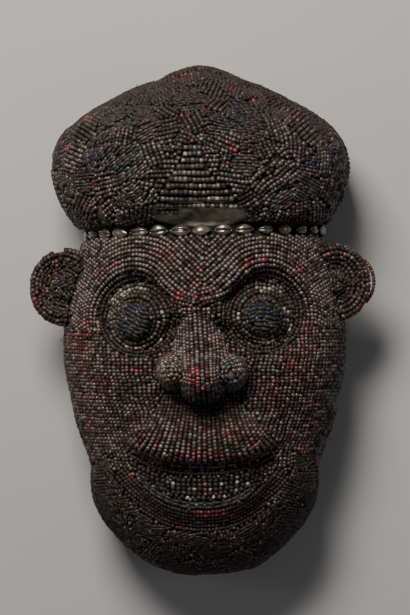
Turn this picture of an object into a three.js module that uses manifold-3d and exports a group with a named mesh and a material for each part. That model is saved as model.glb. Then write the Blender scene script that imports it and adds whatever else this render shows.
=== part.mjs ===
// A beaded mask of the Cameroon Grassfields, lying on its flat back rim with the face up.
// It is a hollow carved wooden head with a puffed cap and two ears, covered in cloth and beads,
// with a row of cowrie shells sewn in the crease under the cap.
// Millimetres, +Z up: X to the right of a viewer facing the mask, Y from the chin to the cap,
// Z from the back rim at z = 0 to the tip of the nose. The bead layer's middle is the surface here.

import * as THREE from "three";
import { mergeVertices } from "three/addons/utils/BufferGeometryUtils.js";
import Module from "manifold-3d";

const wasm = await Module();
wasm.setup();

const DEGREE = Math.PI / 180;

// The carving fades out towards the head's widest line, over this share of the dome's lift.
const CARVING_FADE = 0.25;

// The head is a dome over an outline. Each outline station is [degrees above the level line through
// the centre, radius], the same on both sides, and the first lies under the chin.
const HEAD = {
  x: 0,
  y: -44,
  widestHeight: 62,
  frontRise: 98,
  squareness: 2.35,
  backTaper: 0.05,
  outline: [
    [-90, 197], [-77, 195.8], [-70, 190], [-63, 182], [-56, 174], [-50, 164.5], [-45, 153],
    [-41, 142.5], [-35, 136.5], [-24, 132.5], [-12, 129.5], [0, 132], [12, 136], [30, 148],
    [47, 166], [62, 180], [90, 190],
  ],
};

// The cap is a fuller dome that overhangs the brow and rises to a low peak.
const CAP = {
  x: -4,
  y: 148,
  widestHeight: 70,
  frontRise: 118,
  squareness: 2.2,
  backRadius: 150,
  outline: [
    [-90, 70], [-60, 84], [-38, 118], [-29, 128], [-20, 134], [-10, 138.5], [0, 140.5], [8, 137],
    [14, 131.5], [22, 120.5], [30, 110], [38, 102], [52, 93.5], [63, 89.5], [74, 90.5], [90, 93],
  ],
};

const EYES = {
  places: [
    { x: -57, y: 4, side: -1, ballX: -61, ballY: 1.5 },
    { x: 55.5, y: 7.5, side: 1, ballX: 57.5, ballY: 5.5 },
  ],
  ballRadius: 16.5,
  ballRise: 9,
  bossRadius: 29,
  bossRise: 9,
  socketRadius: 41,
  socketDepth: 6,
};

// The brows drop steeply to the eyes on their underside and run out gently into the forehead. Each
// crest station is [degrees about the eye, radius]: 0 points outwards, 90 to the cap and 180 to the
// other eye, where the two crests meet in a point over the root of the nose.
const BROW = {
  underside: 8.5,
  topside: 30,
  rise: 16,
  foreheadShare: 0.25,
  overlap: 0.2,
  fadeIn: [-20, 22],
  fadeOut: [176, 192],
  crest: [
    [-90, 54], [-20, 52], [40, 48.5], [80, 48.5], [100, 46.5], [125, 41], [150, 42], [163, 47.5],
    [172, 58], [180, 68], [200, 85], [270, 95],
  ],
};
const FOREHEAD = { y: 66, reach: 50, widening: 0.8, rise: 8 };
const CHEEKS = { x: 76, y: -40, reach: 36, rise: 10 };
const TEMPLES = { x: 117, y: 34, reach: 30, rise: -12 };

const NOSE = {
  rootX: -3.5,
  tipX: 1.5,
  rootY: 12,
  tipY: -50,
  rootHalfWidth: 14,
  baseHalfWidth: 35,
  rootRise: 15,
  baseRise: 38,
  rootFade: [24, 6],
  baseFade: [-68, -46],
  tip: { halfWidth: 23, halfHeight: 26, rise: 51 },
  wing: { offset: 26, y: -46, halfWidth: 15, halfHeight: 17, rise: 39 },
};

const MOUTH = {
  halfWidth: 68,
  upperEdgeY: -131,
  upperEdgeLift: 17,
  lowerEdgeY: -166,
  lowerEdgeLift: 36,
  lipHeight: 52,
  lipRise: 21,
  lipDrop: 0.82,
  lipFlat: 9,
  lipFade: 18,
  lobe: { x: 38, y: -108, reach: 22, rise: 4 },
  teethRise: 7,
  lowerLipHeight: 12,
  lowerLipRise: 9,
};

const CHIN = { y: -196, reach: 30, widening: 0.7, rise: 4 };

// The beard is a thicker band round the jaw. Shares are of the outline's radius.
const BEARD = { topDegrees: -38, fullDegrees: -44, innerShare: 0.74, fullShare: 0.8, rise: 5 };

const EAR = {
  rimRadius: 7.5,
  thickness: 14,
  dish: 4.5,
  conchRadius: 13,
  lean: 22,
  places: [
    { x: -130.3, y: 32, z: 99, side: -1, radius: 35.6 },
    { x: 122.2, y: 36.5, z: 99, side: 1, radius: 35.7 },
  ],
};

const WALL = { side: 17, front: 19, capSide: 20, capFront: 24 };

// The shells lie in a shallow channel that follows the head at the height of the cap's lower edge.
const BAND = { y: 84, tilt: 0.022, channelHeight: 15.2, channelReach: 26, seatDepth: 1.5 };
const COWRIE = { count: 21, pitch: 19.6, length: 19, width: 13.2, thickness: 8.2, gap: 0.45 };

// A strand that has come off the right ear's rim stands away from it in a shallow bow.
const STRAND = { beads: 15, beadRadius: 2.1, threadRadius: 0.9, from: 34, to: -29, stand: 2.6, bow: 3.6 };

const clamp = (value, low, high) => Math.min(high, Math.max(low, value));

// A step from 0 to 1 between two values, level at both ends.
function rampUp(low, high, value) {
  const share = clamp((value - low) / (high - low), 0, 1);
  return share * share * (3 - 2 * share);
}

// A round hill of height 1 and base radius 1, with a steeper foot for a smaller power.
const hill = (distance, power) => Math.max(0, 1 - distance * distance) ** power;

const bell = (distance) => Math.exp(-distance * distance);

// The value at a place on a smooth curve through [place, value] stations.
function through(stations, place) {
  const last = stations.length - 2;
  let i = 0;
  while (i < last && place > stations[i + 1][0]) i += 1;
  const slope = (a, b) => (stations[b][1] - stations[a][1]) / (stations[b][0] - stations[a][0]);
  const startSlope = i > 0 ? slope(i - 1, i + 1) : 0;
  const endSlope = i < last ? slope(i, i + 2) : 0;
  const span = stations[i + 1][0] - stations[i][0];
  const t = clamp((place - stations[i][0]) / span, 0, 1);
  const start = stations[i][1];
  const end = stations[i + 1][1];
  return (
    start * (1 + 2 * t) * (1 - t) ** 2 + end * t * t * (3 - 2 * t) +
    span * (startSlope * t * (1 - t) ** 2 - endSlope * t * t * (1 - t))
  );
}

// The outline's radius in a direction, which mirrors from side to side.
function outlineRadius(form, angle) {
  return through(form.outline, Math.asin(clamp(Math.sin(angle), -1, 1)) / DEGREE);
}

// The larger of several rises, with the crease between them slightly filled.
const blended = (...rises) =>
  rises.reduce((sum, rise) => sum + Math.max(rise, 0) ** 5, 0) ** (1 / 5);

// An arched ridge over one eye, from the temple to the root of the nose.
function browRelief(x, y, eye) {
  const outward = (x - eye.x) * eye.side;
  const up = y - eye.y;
  let turn = Math.atan2(up, outward) / DEGREE;
  if (turn < -90) turn += 360;
  const present = rampUp(...BROW.fadeIn, turn) * (1 - rampUp(...BROW.fadeOut, turn));
  const past = Math.hypot(outward, up) - through(BROW.crest, turn);
  const over = BROW.foreheadShare + (1 - BROW.foreheadShare) * bell(past / BROW.topside);
  return BROW.rise * present * (past < 0 ? bell(past / BROW.underside) : over);
}

// A sunk socket that holds a raised round boss with a ball on it.
function eyeRelief(x, y, eye) {
  const away = Math.hypot(x - eye.x, y - eye.y);
  const socket = -EYES.socketDepth * (1 - rampUp(EYES.bossRadius, EYES.socketRadius, away));
  const boss = EYES.bossRise * (1 - rampUp(EYES.ballRadius, EYES.bossRadius + 2, away));
  const ballAway = Math.hypot(x - eye.ballX, y - eye.ballY);
  return socket + boss + EYES.ballRise * hill(ballAway / EYES.ballRadius, 0.5);
}

// A cone that broadens from the root, with a round tip between two wings.
function noseRelief(x, y) {
  const { tip, wing } = NOSE;
  const along = clamp((NOSE.rootY - y) / (NOSE.rootY - NOSE.tipY), 0, 1);
  const aside = x - NOSE.rootX - (NOSE.tipX - NOSE.rootX) * along;
  const halfWidth = NOSE.rootHalfWidth + (NOSE.baseHalfWidth - NOSE.rootHalfWidth) * along ** 1.1;
  const ends = rampUp(...NOSE.rootFade, y) * rampUp(...NOSE.baseFade, y);
  const height = NOSE.rootRise + (NOSE.baseRise - NOSE.rootRise) * along ** 1.25;
  const bridge = height * ends * hill(aside / halfWidth, 0.9);
  const tipAway = Math.hypot(aside / tip.halfWidth, (y - NOSE.tipY) / tip.halfHeight);
  const wingAway = Math.hypot(
    (Math.abs(aside) - wing.offset) / wing.halfWidth,
    (y - wing.y) / wing.halfHeight,
  );
  return blended(bridge, tip.rise * hill(tipAway, 0.6), wing.rise * hill(wingAway, 0.55));
}

const lipEdge = (x, middle, lift) => middle + lift * (Math.abs(x) / MOUTH.halfWidth) ** 2.4;

// A heavy upper lip that slopes back towards the nose, a bowed field of teeth under it, and a
// thinner lower lip, all curved upwards.
function mouthRelief(x, y) {
  const upper = lipEdge(x, MOUTH.upperEdgeY, MOUTH.upperEdgeLift);
  const lower = lipEdge(x, MOUTH.lowerEdgeY, MOUTH.lowerEdgeLift);
  const sideways = Math.abs(x) / MOUTH.halfWidth;
  const over = y - upper;
  const slope = 1 - MOUTH.lipDrop * rampUp(MOUTH.lipFlat, MOUTH.lipHeight, over);
  const fade = 1 - rampUp(MOUTH.lipHeight, MOUTH.lipHeight + MOUTH.lipFade, over);
  const ends = rampUp(-3, 7, over) * fade;
  const { lobe } = MOUTH;
  const swell = lobe.rise * bell(Math.hypot(Math.abs(x) - lobe.x, y - lobe.y) / lobe.reach);
  const upperLip = (MOUTH.lipRise * slope + swell) * ends * (1 - rampUp(0.6, 1.22, sideways));
  const teeth =
    MOUTH.teethRise * rampUp(lower - 4, lower + 4, y) * (1 - rampUp(upper - 2, upper + 8, y)) *
    (1 - rampUp(0.5, 1, sideways));
  const under = (lower - y) / MOUTH.lowerLipHeight - 0.35;
  const lowerLip =
    MOUTH.lowerLipRise * bell(under / (under > 0 ? 1.1 : 0.45)) * (1 - rampUp(0.55, 1.08, sideways));
  return blended(upperLip, teeth, lowerLip);
}

// How far the carving stands above the plain dome at a place on the face.
function faceRelief(x, y) {
  let rise = FOREHEAD.rise * bell(Math.hypot(x * FOREHEAD.widening, y - FOREHEAD.y) / FOREHEAD.reach);
  rise += CHIN.rise * bell(Math.hypot(x * CHIN.widening, y - CHIN.y) / CHIN.reach);
  rise += CHEEKS.rise * bell(Math.hypot(Math.abs(x) - CHEEKS.x, y - CHEEKS.y) / CHEEKS.reach);
  rise += TEMPLES.rise * bell(Math.hypot(Math.abs(x) - TEMPLES.x, y - TEMPLES.y) / TEMPLES.reach);
  const brows = EYES.places.map((eye) => browRelief(x, y, eye));
  const ridge = Math.max(...brows) + BROW.overlap * Math.min(...brows);
  EYES.places.forEach((eye) => {
    rise += eyeRelief(x, y, eye);
  });
  return rise + blended(ridge, noseRelief(x, y)) + mouthRelief(x, y);
}

// How far the beard stands out at a direction and a share of the outline's radius.
function beardRelief(angle, share) {
  const climb = Math.asin(clamp(Math.sin(angle), -1, 1)) / DEGREE;
  const low = 1 - rampUp(BEARD.fullDegrees, BEARD.topDegrees, climb);
  return BEARD.rise * low * rampUp(BEARD.innerShare, BEARD.fullShare, share);
}

// How far forward a dome stands, as a share of its rise, at a share of its outline's radius.
const domeLift = (share, squareness) => Math.max(0, 1 - share ** squareness) ** (1 / squareness);

// A point on the head. share runs from 0 at the middle of the face to 1 at its widest line, and
// behind is the depth below that line. A hollow is the same dome drawn in, without the carving.
function headPoint(angle, share, behind, inset, frontInset) {
  const lift = domeLift(share, HEAD.squareness);
  const taper = 1 - HEAD.backTaper * (behind / HEAD.widestHeight) ** 2;
  const radius = (outlineRadius(HEAD, angle) - inset) * share * taper;
  const x = HEAD.x + radius * Math.cos(angle);
  const y = HEAD.y + radius * Math.sin(angle);
  const z = HEAD.widestHeight - behind + (HEAD.frontRise - frontInset) * lift;
  if (inset !== 0 || behind !== 0) return [x, y, z];
  const carving = faceRelief(x, y) * rampUp(0, CARVING_FADE, lift);
  return [x, y, z + carving + beardRelief(angle, share) * lift];
}

// A point on the cap, in the same terms as on the head.
function capPoint(angle, share, behind, inset, frontInset) {
  const taper = Math.sqrt(1 - (behind / CAP.backRadius) ** 2);
  const radius = (outlineRadius(CAP, angle) - inset) * share * taper;
  return [
    CAP.x + radius * Math.cos(angle),
    CAP.y + radius * Math.sin(angle),
    CAP.widestHeight - behind + (CAP.frontRise - frontInset) * domeLift(share, CAP.squareness),
  ];
}

// Two triangles across four corners, split along the shorter diagonal so that ridges stay smooth.
function splitQuad(positions, a, b, c, d) {
  const apart = (i, j) =>
    Math.hypot(...[0, 1, 2].map((k) => positions[3 * i + k] - positions[3 * j + k]));
  return apart(a, c) <= apart(b, d) ? [a, b, c, a, c, d] : [a, b, d, b, c, d];
}

// A closed mesh through rings of points, with a fan at each end.
function ringsGeometry(rings) {
  const positions = [];
  const faces = [];
  const around = rings[0].length;
  rings.forEach((ring) => ring.forEach((point) => positions.push(...point)));
  for (let i = 0; i + 1 < rings.length; i += 1) {
    for (let j = 0; j < around; j += 1) {
      const next = (j + 1) % around;
      const [a, b] = [i * around + j, i * around + next];
      const [c, d] = [a + around, b + around];
      faces.push(...splitQuad(positions, a, b, d, c));
    }
  }
  [0, rings.length - 1].forEach((end) => {
    const middle = positions.length / 3;
    const sum = rings[end].reduce((total, p) => total.map((v, k) => v + p[k]), [0, 0, 0]);
    positions.push(...sum.map((v) => v / around));
    for (let j = 0; j < around; j += 1) {
      const here = end * around + j;
      const next = end * around + ((j + 1) % around);
      if (end === 0) faces.push(middle, next, here);
      else faces.push(middle, here, next);
    }
  });
  const geometry = new THREE.BufferGeometry();
  geometry.setAttribute("position", new THREE.Float32BufferAttribute(positions, 3));
  geometry.setIndex(faces);
  return geometry;
}

function solidOf(geometry) {
  const bare = geometry.clone();
  bare.deleteAttribute("normal");
  bare.deleteAttribute("uv");
  const merged = mergeVertices(bare, 1e-3);
  const made = new wasm.Manifold(
    new wasm.Mesh({
      numProp: 3,
      vertProperties: new Float32Array(merged.attributes.position.array),
      triVerts: new Uint32Array(merged.index.array),
    }),
  );
  if (made.volume() < 0) throw new Error("a form is inside out");
  return made;
}

function geometryOf(solid) {
  const mesh = solid.getMesh();
  const positions = [];
  for (let i = 0; i < mesh.numVert; i += 1) {
    positions.push(...mesh.vertProperties.subarray(i * mesh.numProp, i * mesh.numProp + 3));
  }
  const geometry = new THREE.BufferGeometry();
  geometry.setAttribute("position", new THREE.Float32BufferAttribute(positions, 3));
  geometry.setIndex(Array.from(mesh.triVerts));
  geometry.computeVertexNormals();
  return geometry;
}

// A dome whose front is a square net pulled out to the round outline, with a wall of rings behind
// it. stretch is the outline's height over its width, which keeps the net even.
function domeGeometry(point, { columns, rows, stretch, backRings, backReach, inset, frontInset }) {
  const positions = [];
  const faces = [];
  const edge = [];
  const anglesRound = [];
  const add = (angle, share, behind) => {
    positions.push(...point(angle, share, behind, inset, frontInset));
    return positions.length / 3 - 1;
  };
  const net = [];
  for (let j = 0; j <= rows; j += 1) {
    for (let i = 0; i <= columns; i += 1) {
      const u = (2 * i) / columns - 1;
      const v = (2 * j) / rows - 1;
      const across = u * Math.sqrt(1 - (v * v) / 2);
      const up = v * Math.sqrt(1 - (u * u) / 2);
      const out = Math.min(1, Math.hypot(across, up));
      net.push({ angle: Math.atan2(up * stretch, across), share: out * (1.2 - 0.2 * out * out) });
    }
  }
  net.forEach(({ angle, share }) => add(angle, share, 0));
  const at = (i, j) => j * (columns + 1) + i;
  for (let j = 0; j < rows; j += 1) {
    for (let i = 0; i < columns; i += 1) {
      faces.push(...splitQuad(positions, at(i, j), at(i + 1, j), at(i + 1, j + 1), at(i, j + 1)));
    }
  }
  for (let i = 0; i < columns; i += 1) edge.push(at(i, 0));
  for (let j = 0; j < rows; j += 1) edge.push(at(columns, j));
  for (let i = columns; i > 0; i -= 1) edge.push(at(i, rows));
  for (let j = rows; j > 0; j -= 1) edge.push(at(0, j));
  edge.forEach((index) => anglesRound.push(net[index].angle));
  let above = edge;
  for (let k = 1; k <= backRings; k += 1) {
    const below = anglesRound.map((angle) => add(angle, 1, (backReach * k) / backRings));
    above.forEach((_, i) => {
      const next = (i + 1) % above.length;
      faces.push(...splitQuad(positions, above[i], below[i], below[next], above[next]));
    });
    above = below;
  }
  const middle = add(0, 0, 0);
  positions[3 * middle + 2] = positions[3 * above[0] + 2];
  above.forEach((index, i) => faces.push(index, middle, above[(i + 1) % above.length]));
  const geometry = new THREE.BufferGeometry();
  geometry.setAttribute("position", new THREE.Float32BufferAttribute(positions, 3));
  geometry.setIndex(faces);
  return geometry;
}

// A thick disc with a rolled rim, a dished face and a raised middle, turned about its own axis.
function earSolid(place) {
  const half = EAR.thickness / 2;
  const inner = place.radius - 2 * EAR.rimRadius;
  const profile = [[0, -half]];
  profile.push([inner, -half]);
  for (let i = -1; i <= 2; i += 1) {
    const turn = (i / 2) * 90 * DEGREE;
    profile.push([
      place.radius - EAR.rimRadius * (1 - Math.cos(turn)),
      EAR.rimRadius * Math.sin(turn),
    ]);
  }
  profile.push([inner + 2, EAR.rimRadius * 0.55], [inner - 1, half - EAR.dish]);
  profile.push([EAR.conchRadius, half - EAR.dish], [EAR.conchRadius * 0.6, half + 0.5], [0, half + 1]);
  const points = profile.map(([radius, height]) => new THREE.Vector2(radius, height));
  const geometry = new THREE.LatheGeometry(points, 22);
  geometry.rotateX(Math.PI / 2);
  geometry.rotateY(place.side * EAR.lean * DEGREE);
  geometry.translate(place.x, place.y, place.z);
  return solidOf(geometry);
}

// The crease line from the front round to one side: half of the head's section at the band.
function bandHalf(side) {
  const points = [];
  const steps = 40;
  const up = BAND.y - HEAD.y;
  let widest = 0;
  for (let x = 60; x < 160; x += 0.25) {
    if (Math.hypot(x, up) < outlineRadius(HEAD, Math.atan2(up, x))) widest = x;
  }
  for (let i = 0; i <= steps; i += 1) {
    const x = widest * Math.sin((i / steps) * (Math.PI / 2));
    const share = Math.hypot(x, up) / outlineRadius(HEAD, Math.atan2(up, x));
    const lift = domeLift(share, HEAD.squareness);
    const rise = faceRelief(side * x, BAND.y) * rampUp(0, 0.25, lift);
    points.push([side * x, HEAD.widestHeight + HEAD.frontRise * lift + rise]);
  }
  for (let i = 1; i <= 12; i += 1) {
    const behind = (i / 12) * (HEAD.widestHeight - 2);
    const taper = 1 - HEAD.backTaper * (behind / HEAD.widestHeight) ** 2;
    points.push([side * widest * taper, HEAD.widestHeight - behind]);
  }
  return points;
}

// The whole line from the left rim over the front to the right rim, evenly spaced, with its normals.
function bandLine(spacing) {
  const raw = [...bandHalf(-1).reverse(), ...bandHalf(1).slice(1)];
  const flat = new THREE.CatmullRomCurve3(raw.map(([x, z]) => new THREE.Vector3(x, 0, z)));
  flat.arcLengthDivisions = 800;
  const total = flat.getLength();
  const count = Math.round(total / spacing);
  const line = [];
  for (let i = 0; i <= count; i += 1) {
    const share = i / count;
    const point = flat.getPointAt(share);
    const along = flat.getTangentAt(share);
    line.push({ point: point.setY(BAND.y + BAND.tilt * point.x), along, reach: share * total });
  }
  return { line, total };
}

const CREASE = bandLine(0.5);

// A frame on the band at a length from its middle: along it, out of the head, and towards the cap.
function bandFrame(reachFromMiddle) {
  const { line, total } = CREASE;
  const wanted = total / 2 + reachFromMiddle;
  const nearest = line.reduce((best, entry) =>
    Math.abs(entry.reach - wanted) < Math.abs(best.reach - wanted) ? entry : best,
  );
  const along = nearest.along.clone().setY(BAND.tilt * nearest.along.x).normalize();
  const up = new THREE.Vector3(0, 1, 0).addScaledVector(along, -along.y).normalize();
  return { point: nearest.point, along, up, out: new THREE.Vector3().crossVectors(along, up) };
}

// The channel that the shells lie in, as a tool to cut the body with.
function channelSolid() {
  const rings = [];
  const reach = CREASE.total / 2 - 3;
  const steps = 32;
  for (let i = 0; i <= steps; i += 1) {
    const frame = bandFrame(-reach + (2 * reach * i) / steps);
    const corner = (out, up) =>
      frame.point.clone().addScaledVector(frame.out, out).addScaledVector(frame.up, up).toArray();
    const half = BAND.channelHeight / 2;
    const far = BAND.channelReach;
    rings.push([
      corner(-BAND.seatDepth, half), corner(far, half), corner(far, -half), corner(-BAND.seatDepth, -half),
    ]);
  }
  return solidOf(ringsGeometry(rings));
}

// An egg-shaped shell lying along the band, its slit outwards. The section is round at the back,
// with two lips and a groove at the front.
function cowrieGeometry(index) {
  const slot = index - (COWRIE.count - 1) / 2;
  const frame = bandFrame(slot * COWRIE.pitch);
  const blunt = index % 2 ? 1 : -1;
  const lipAngles = [150, 90, 26, 0, -26, -90, -150];
  const rings = [];
  [-0.96, -0.66, -0.1, 0.5, 0.93].forEach((share) => {
    const girth = Math.sqrt(1 - share * share) * (1 + 0.18 * share * blunt);
    const ring = lipAngles.map((degrees) => {
      const turn = degrees * DEGREE;
      const groove = degrees === 0 ? 0.72 : 1;
      const out = (COWRIE.thickness / 2) * (1 + girth * Math.cos(turn) * groove);
      const up = (COWRIE.width / 2) * girth * Math.sin(turn);
      return frame.point
        .clone()
        .addScaledVector(frame.along, (share * COWRIE.length) / 2)
        .addScaledVector(frame.out, out + COWRIE.gap - BAND.seatDepth)
        .addScaledVector(frame.up, up)
        .toArray();
    });
    rings.push(ring);
  });
  return ringsGeometry(rings);
}

// Beads on a thread that bows away from the right ear's rim, as one string of round swellings.
function strandGeometry() {
  const ear = EAR.places[1];
  const lean = ear.side * EAR.lean * DEGREE;
  const rings = [];
  const perBead = 3;
  const steps = STRAND.beads * perBead;
  for (let i = 0; i <= steps; i += 1) {
    const share = i / steps;
    const turn = (STRAND.from + (STRAND.to - STRAND.from) * share) * DEGREE;
    const away = ear.radius + STRAND.stand + STRAND.bow * Math.sin(share * Math.PI);
    const swell = i % perBead === 0 ? 0 : 1;
    const radius = STRAND.threadRadius + (STRAND.beadRadius - STRAND.threadRadius) * swell;
    const ring = [];
    for (let j = 0; j < 5; j += 1) {
      const spin = (j / 5) * 2 * Math.PI;
      const out = away + radius * Math.cos(spin);
      const point = new THREE.Vector3(out * Math.cos(turn), out * Math.sin(turn), radius * Math.sin(spin));
      point.applyAxisAngle(new THREE.Vector3(0, 1, 0), lean);
      ring.push(point.add(new THREE.Vector3(ear.x, ear.y, ear.z)).toArray());
    }
    rings.push(ring);
  }
  return ringsGeometry(rings);
}

// The carved wooden body: head, cap and ears in one, hollowed from behind and cut flat at the back.
function bodyGeometry() {
  const past = 30;
  const headStretch = 1.48;
  const capStretch = 0.62;
  const outer = solidOf(
    domeGeometry(headPoint, {
      columns: 46, rows: 59, stretch: headStretch,
      backRings: 1, backReach: HEAD.widestHeight + past, inset: 0, frontInset: 0,
    }),
  )
    .add(
      solidOf(
        domeGeometry(capPoint, {
          columns: 20, rows: 12, stretch: capStretch,
          backRings: 2, backReach: CAP.widestHeight + past, inset: 0, frontInset: 0,
        }),
      ),
    )
    .add(earSolid(EAR.places[0]))
    .add(earSolid(EAR.places[1]));
  const headHollow = solidOf(
    domeGeometry(headPoint, {
      columns: 8, rows: 12, stretch: headStretch,
      backRings: 1, backReach: HEAD.widestHeight + past / 2, inset: WALL.side, frontInset: WALL.front,
    }),
  );
  const capHollow = solidOf(
    domeGeometry(capPoint, {
      columns: 10, rows: 6, stretch: capStretch,
      backRings: 1, backReach: CAP.widestHeight + past / 2, inset: WALL.capSide, frontInset: WALL.capFront,
    }),
  );
  const below = new THREE.BoxGeometry(600, 700, 100);
  below.translate(0, 0, -50);
  return geometryOf(
    outer.subtract(headHollow).subtract(capHollow).subtract(channelSolid()).subtract(solidOf(below)),
  );
}

const MATERIALS = {
  beadwork: new THREE.MeshStandardMaterial({ color: 0x2a2220, roughness: 0.55, metalness: 0 }),
  shell: new THREE.MeshStandardMaterial({ color: 0x8a8072, roughness: 0.35, metalness: 0 }),
  redBeads: new THREE.MeshStandardMaterial({ color: 0x7a1a18, roughness: 0.3, metalness: 0 }),
};

function named(name, geometry, material) {
  const mesh = new THREE.Mesh(geometry, material);
  mesh.name = name;
  return mesh;
}

const mask = new THREE.Group();
mask.name = "beaded_mask";
mask.add(named("mask_body", bodyGeometry(), MATERIALS.beadwork));

const cowries = new THREE.Group();
cowries.name = "cowrie_row";
for (let i = 0; i < COWRIE.count; i += 1) {
  cowries.add(named(`cowrie_${String(i + 1).padStart(2, "0")}`, cowrieGeometry(i), MATERIALS.shell));
}
mask.add(cowries);
mask.add(named("loose_bead_strand", strandGeometry(), MATERIALS.redBeads));

export default mask;
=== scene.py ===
"""A beaded mask of the Cameroon Grassfields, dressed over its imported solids.

A cloth skin covers a hollow carved wooden head. About seventeen thousand glass beads are sewn on it
in rows that follow the brows, eyes, nose and mouth and lie in a patchwork on the cap and the beard.
Cowrie shells lie in the crease under the cap. The classes work in millimetres, with X to the right
of a viewer who faces the mask, Y from the chin to the cap and Z out of the face, and meshes are
made in metres.
"""

from __future__ import annotations

import logging
import math
from collections.abc import Callable
from dataclasses import dataclass, field
from enum import Enum, IntEnum
from functools import cached_property

import bpy
import numpy as np
from mathutils import Matrix, Vector

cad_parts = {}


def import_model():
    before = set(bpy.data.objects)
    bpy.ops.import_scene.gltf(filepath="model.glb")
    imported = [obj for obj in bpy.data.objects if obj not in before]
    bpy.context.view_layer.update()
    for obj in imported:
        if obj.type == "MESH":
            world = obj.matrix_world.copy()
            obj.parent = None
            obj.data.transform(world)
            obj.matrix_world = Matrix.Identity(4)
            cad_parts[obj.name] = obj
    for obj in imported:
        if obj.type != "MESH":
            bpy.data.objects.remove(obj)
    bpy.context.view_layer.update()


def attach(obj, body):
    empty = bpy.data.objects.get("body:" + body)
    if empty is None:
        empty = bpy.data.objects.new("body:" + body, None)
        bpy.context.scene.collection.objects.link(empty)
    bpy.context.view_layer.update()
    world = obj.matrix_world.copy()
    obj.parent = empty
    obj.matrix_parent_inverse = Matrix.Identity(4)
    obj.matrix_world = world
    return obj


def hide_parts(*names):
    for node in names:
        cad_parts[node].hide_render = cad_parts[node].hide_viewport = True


Array = np.ndarray
Rule = Callable[[Array], Array]
Chance = np.random.Generator
Colour = tuple[float, float, float]
Rows = tuple[tuple[float, ...], ...]
Piece = bpy.types.Object
Material = bpy.types.Material
Socket = bpy.types.NodeSocket
BLACK, WHITE = (0, 0, 0), (1, 1, 1)
LOG = logging.getLogger("beaded_mask")
MM = 0.001


# Plain mathematics


def ramp(low: Array | float, high: Array | float, value: Array | float) -> Array:
    """A step from 0 to 1 between low and high: 3 t squared less 2 t cubed."""
    share = np.clip((value - low) / (high - low), 0, 1)
    return share * share * (3 - 2 * share)


def hill(distance: Array, power: float) -> Array:
    """A round hill of base radius 1: one less the distance squared, to a power."""
    return np.maximum(0, 1 - distance * distance) ** power


def bell(distance: Array | float) -> Array:
    """A bell curve: e to the power of minus the distance squared."""
    return np.exp(-np.square(distance))


def blended(*rises: Array) -> Array:
    """The larger of several rises with its creases filled: the fifth root of their fifth powers."""
    return sum(np.maximum(rise, 0) ** 5 for rise in rises) ** 0.2


def unit(vectors: Array) -> Array:
    """Vectors divided by their length."""
    return vectors / np.maximum(np.linalg.norm(vectors, axis=-1, keepdims=True), 1e-9)


def joined(x: Array, y: Array, z: Array) -> Array:
    """Points from their three coordinates, which broadcast against each other."""
    return np.stack(np.broadcast_arrays(x, y, z), axis=-1)


def lengths_along(line: Array) -> Array:
    """The length of a line of points from its start to each point."""
    return np.concatenate([[0], np.cumsum(np.linalg.norm(np.diff(line, axis=0), axis=1))])


def points_at(wanted: Array, lengths: Array, line: Array) -> Array:
    """Points of a line at wanted lengths, straight between those whose lengths are known."""
    return np.stack([np.interp(wanted, lengths, column) for column in line.T], axis=1)


def through(stations: Array, place: Array) -> Array:
    """A smooth curve through stations, as cubic pieces with the chord's slope at each station.

    Args:
        stations: Rows of place and value, in rising order of place.
        place: Where the curve is wanted.

    Returns:
        The curve's value at each place.
    """
    xs, ys = stations[:, 0], stations[:, 1]
    slopes = np.zeros(len(xs))
    slopes[1:-1] = (ys[2:] - ys[:-2]) / (xs[2:] - xs[:-2])
    i = np.clip(np.searchsorted(xs, place) - 1, 0, len(xs) - 2)
    span = xs[i + 1] - xs[i]
    t = np.clip((place - xs[i]) / span, 0, 1)
    ends = ys[i] * (1 + 2 * t) * (1 - t) ** 2 + ys[i + 1] * t * t * (3 - 2 * t)
    return ends + span * (slopes[i] * t * (1 - t) ** 2 - slopes[i + 1] * t * t * (1 - t))


def turn_matrix(axis: str, degrees: float) -> Array:
    """The matrix of a turn about a named axis."""
    return np.array(Matrix.Rotation(math.radians(degrees), 3, axis))


# The carved form


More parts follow.
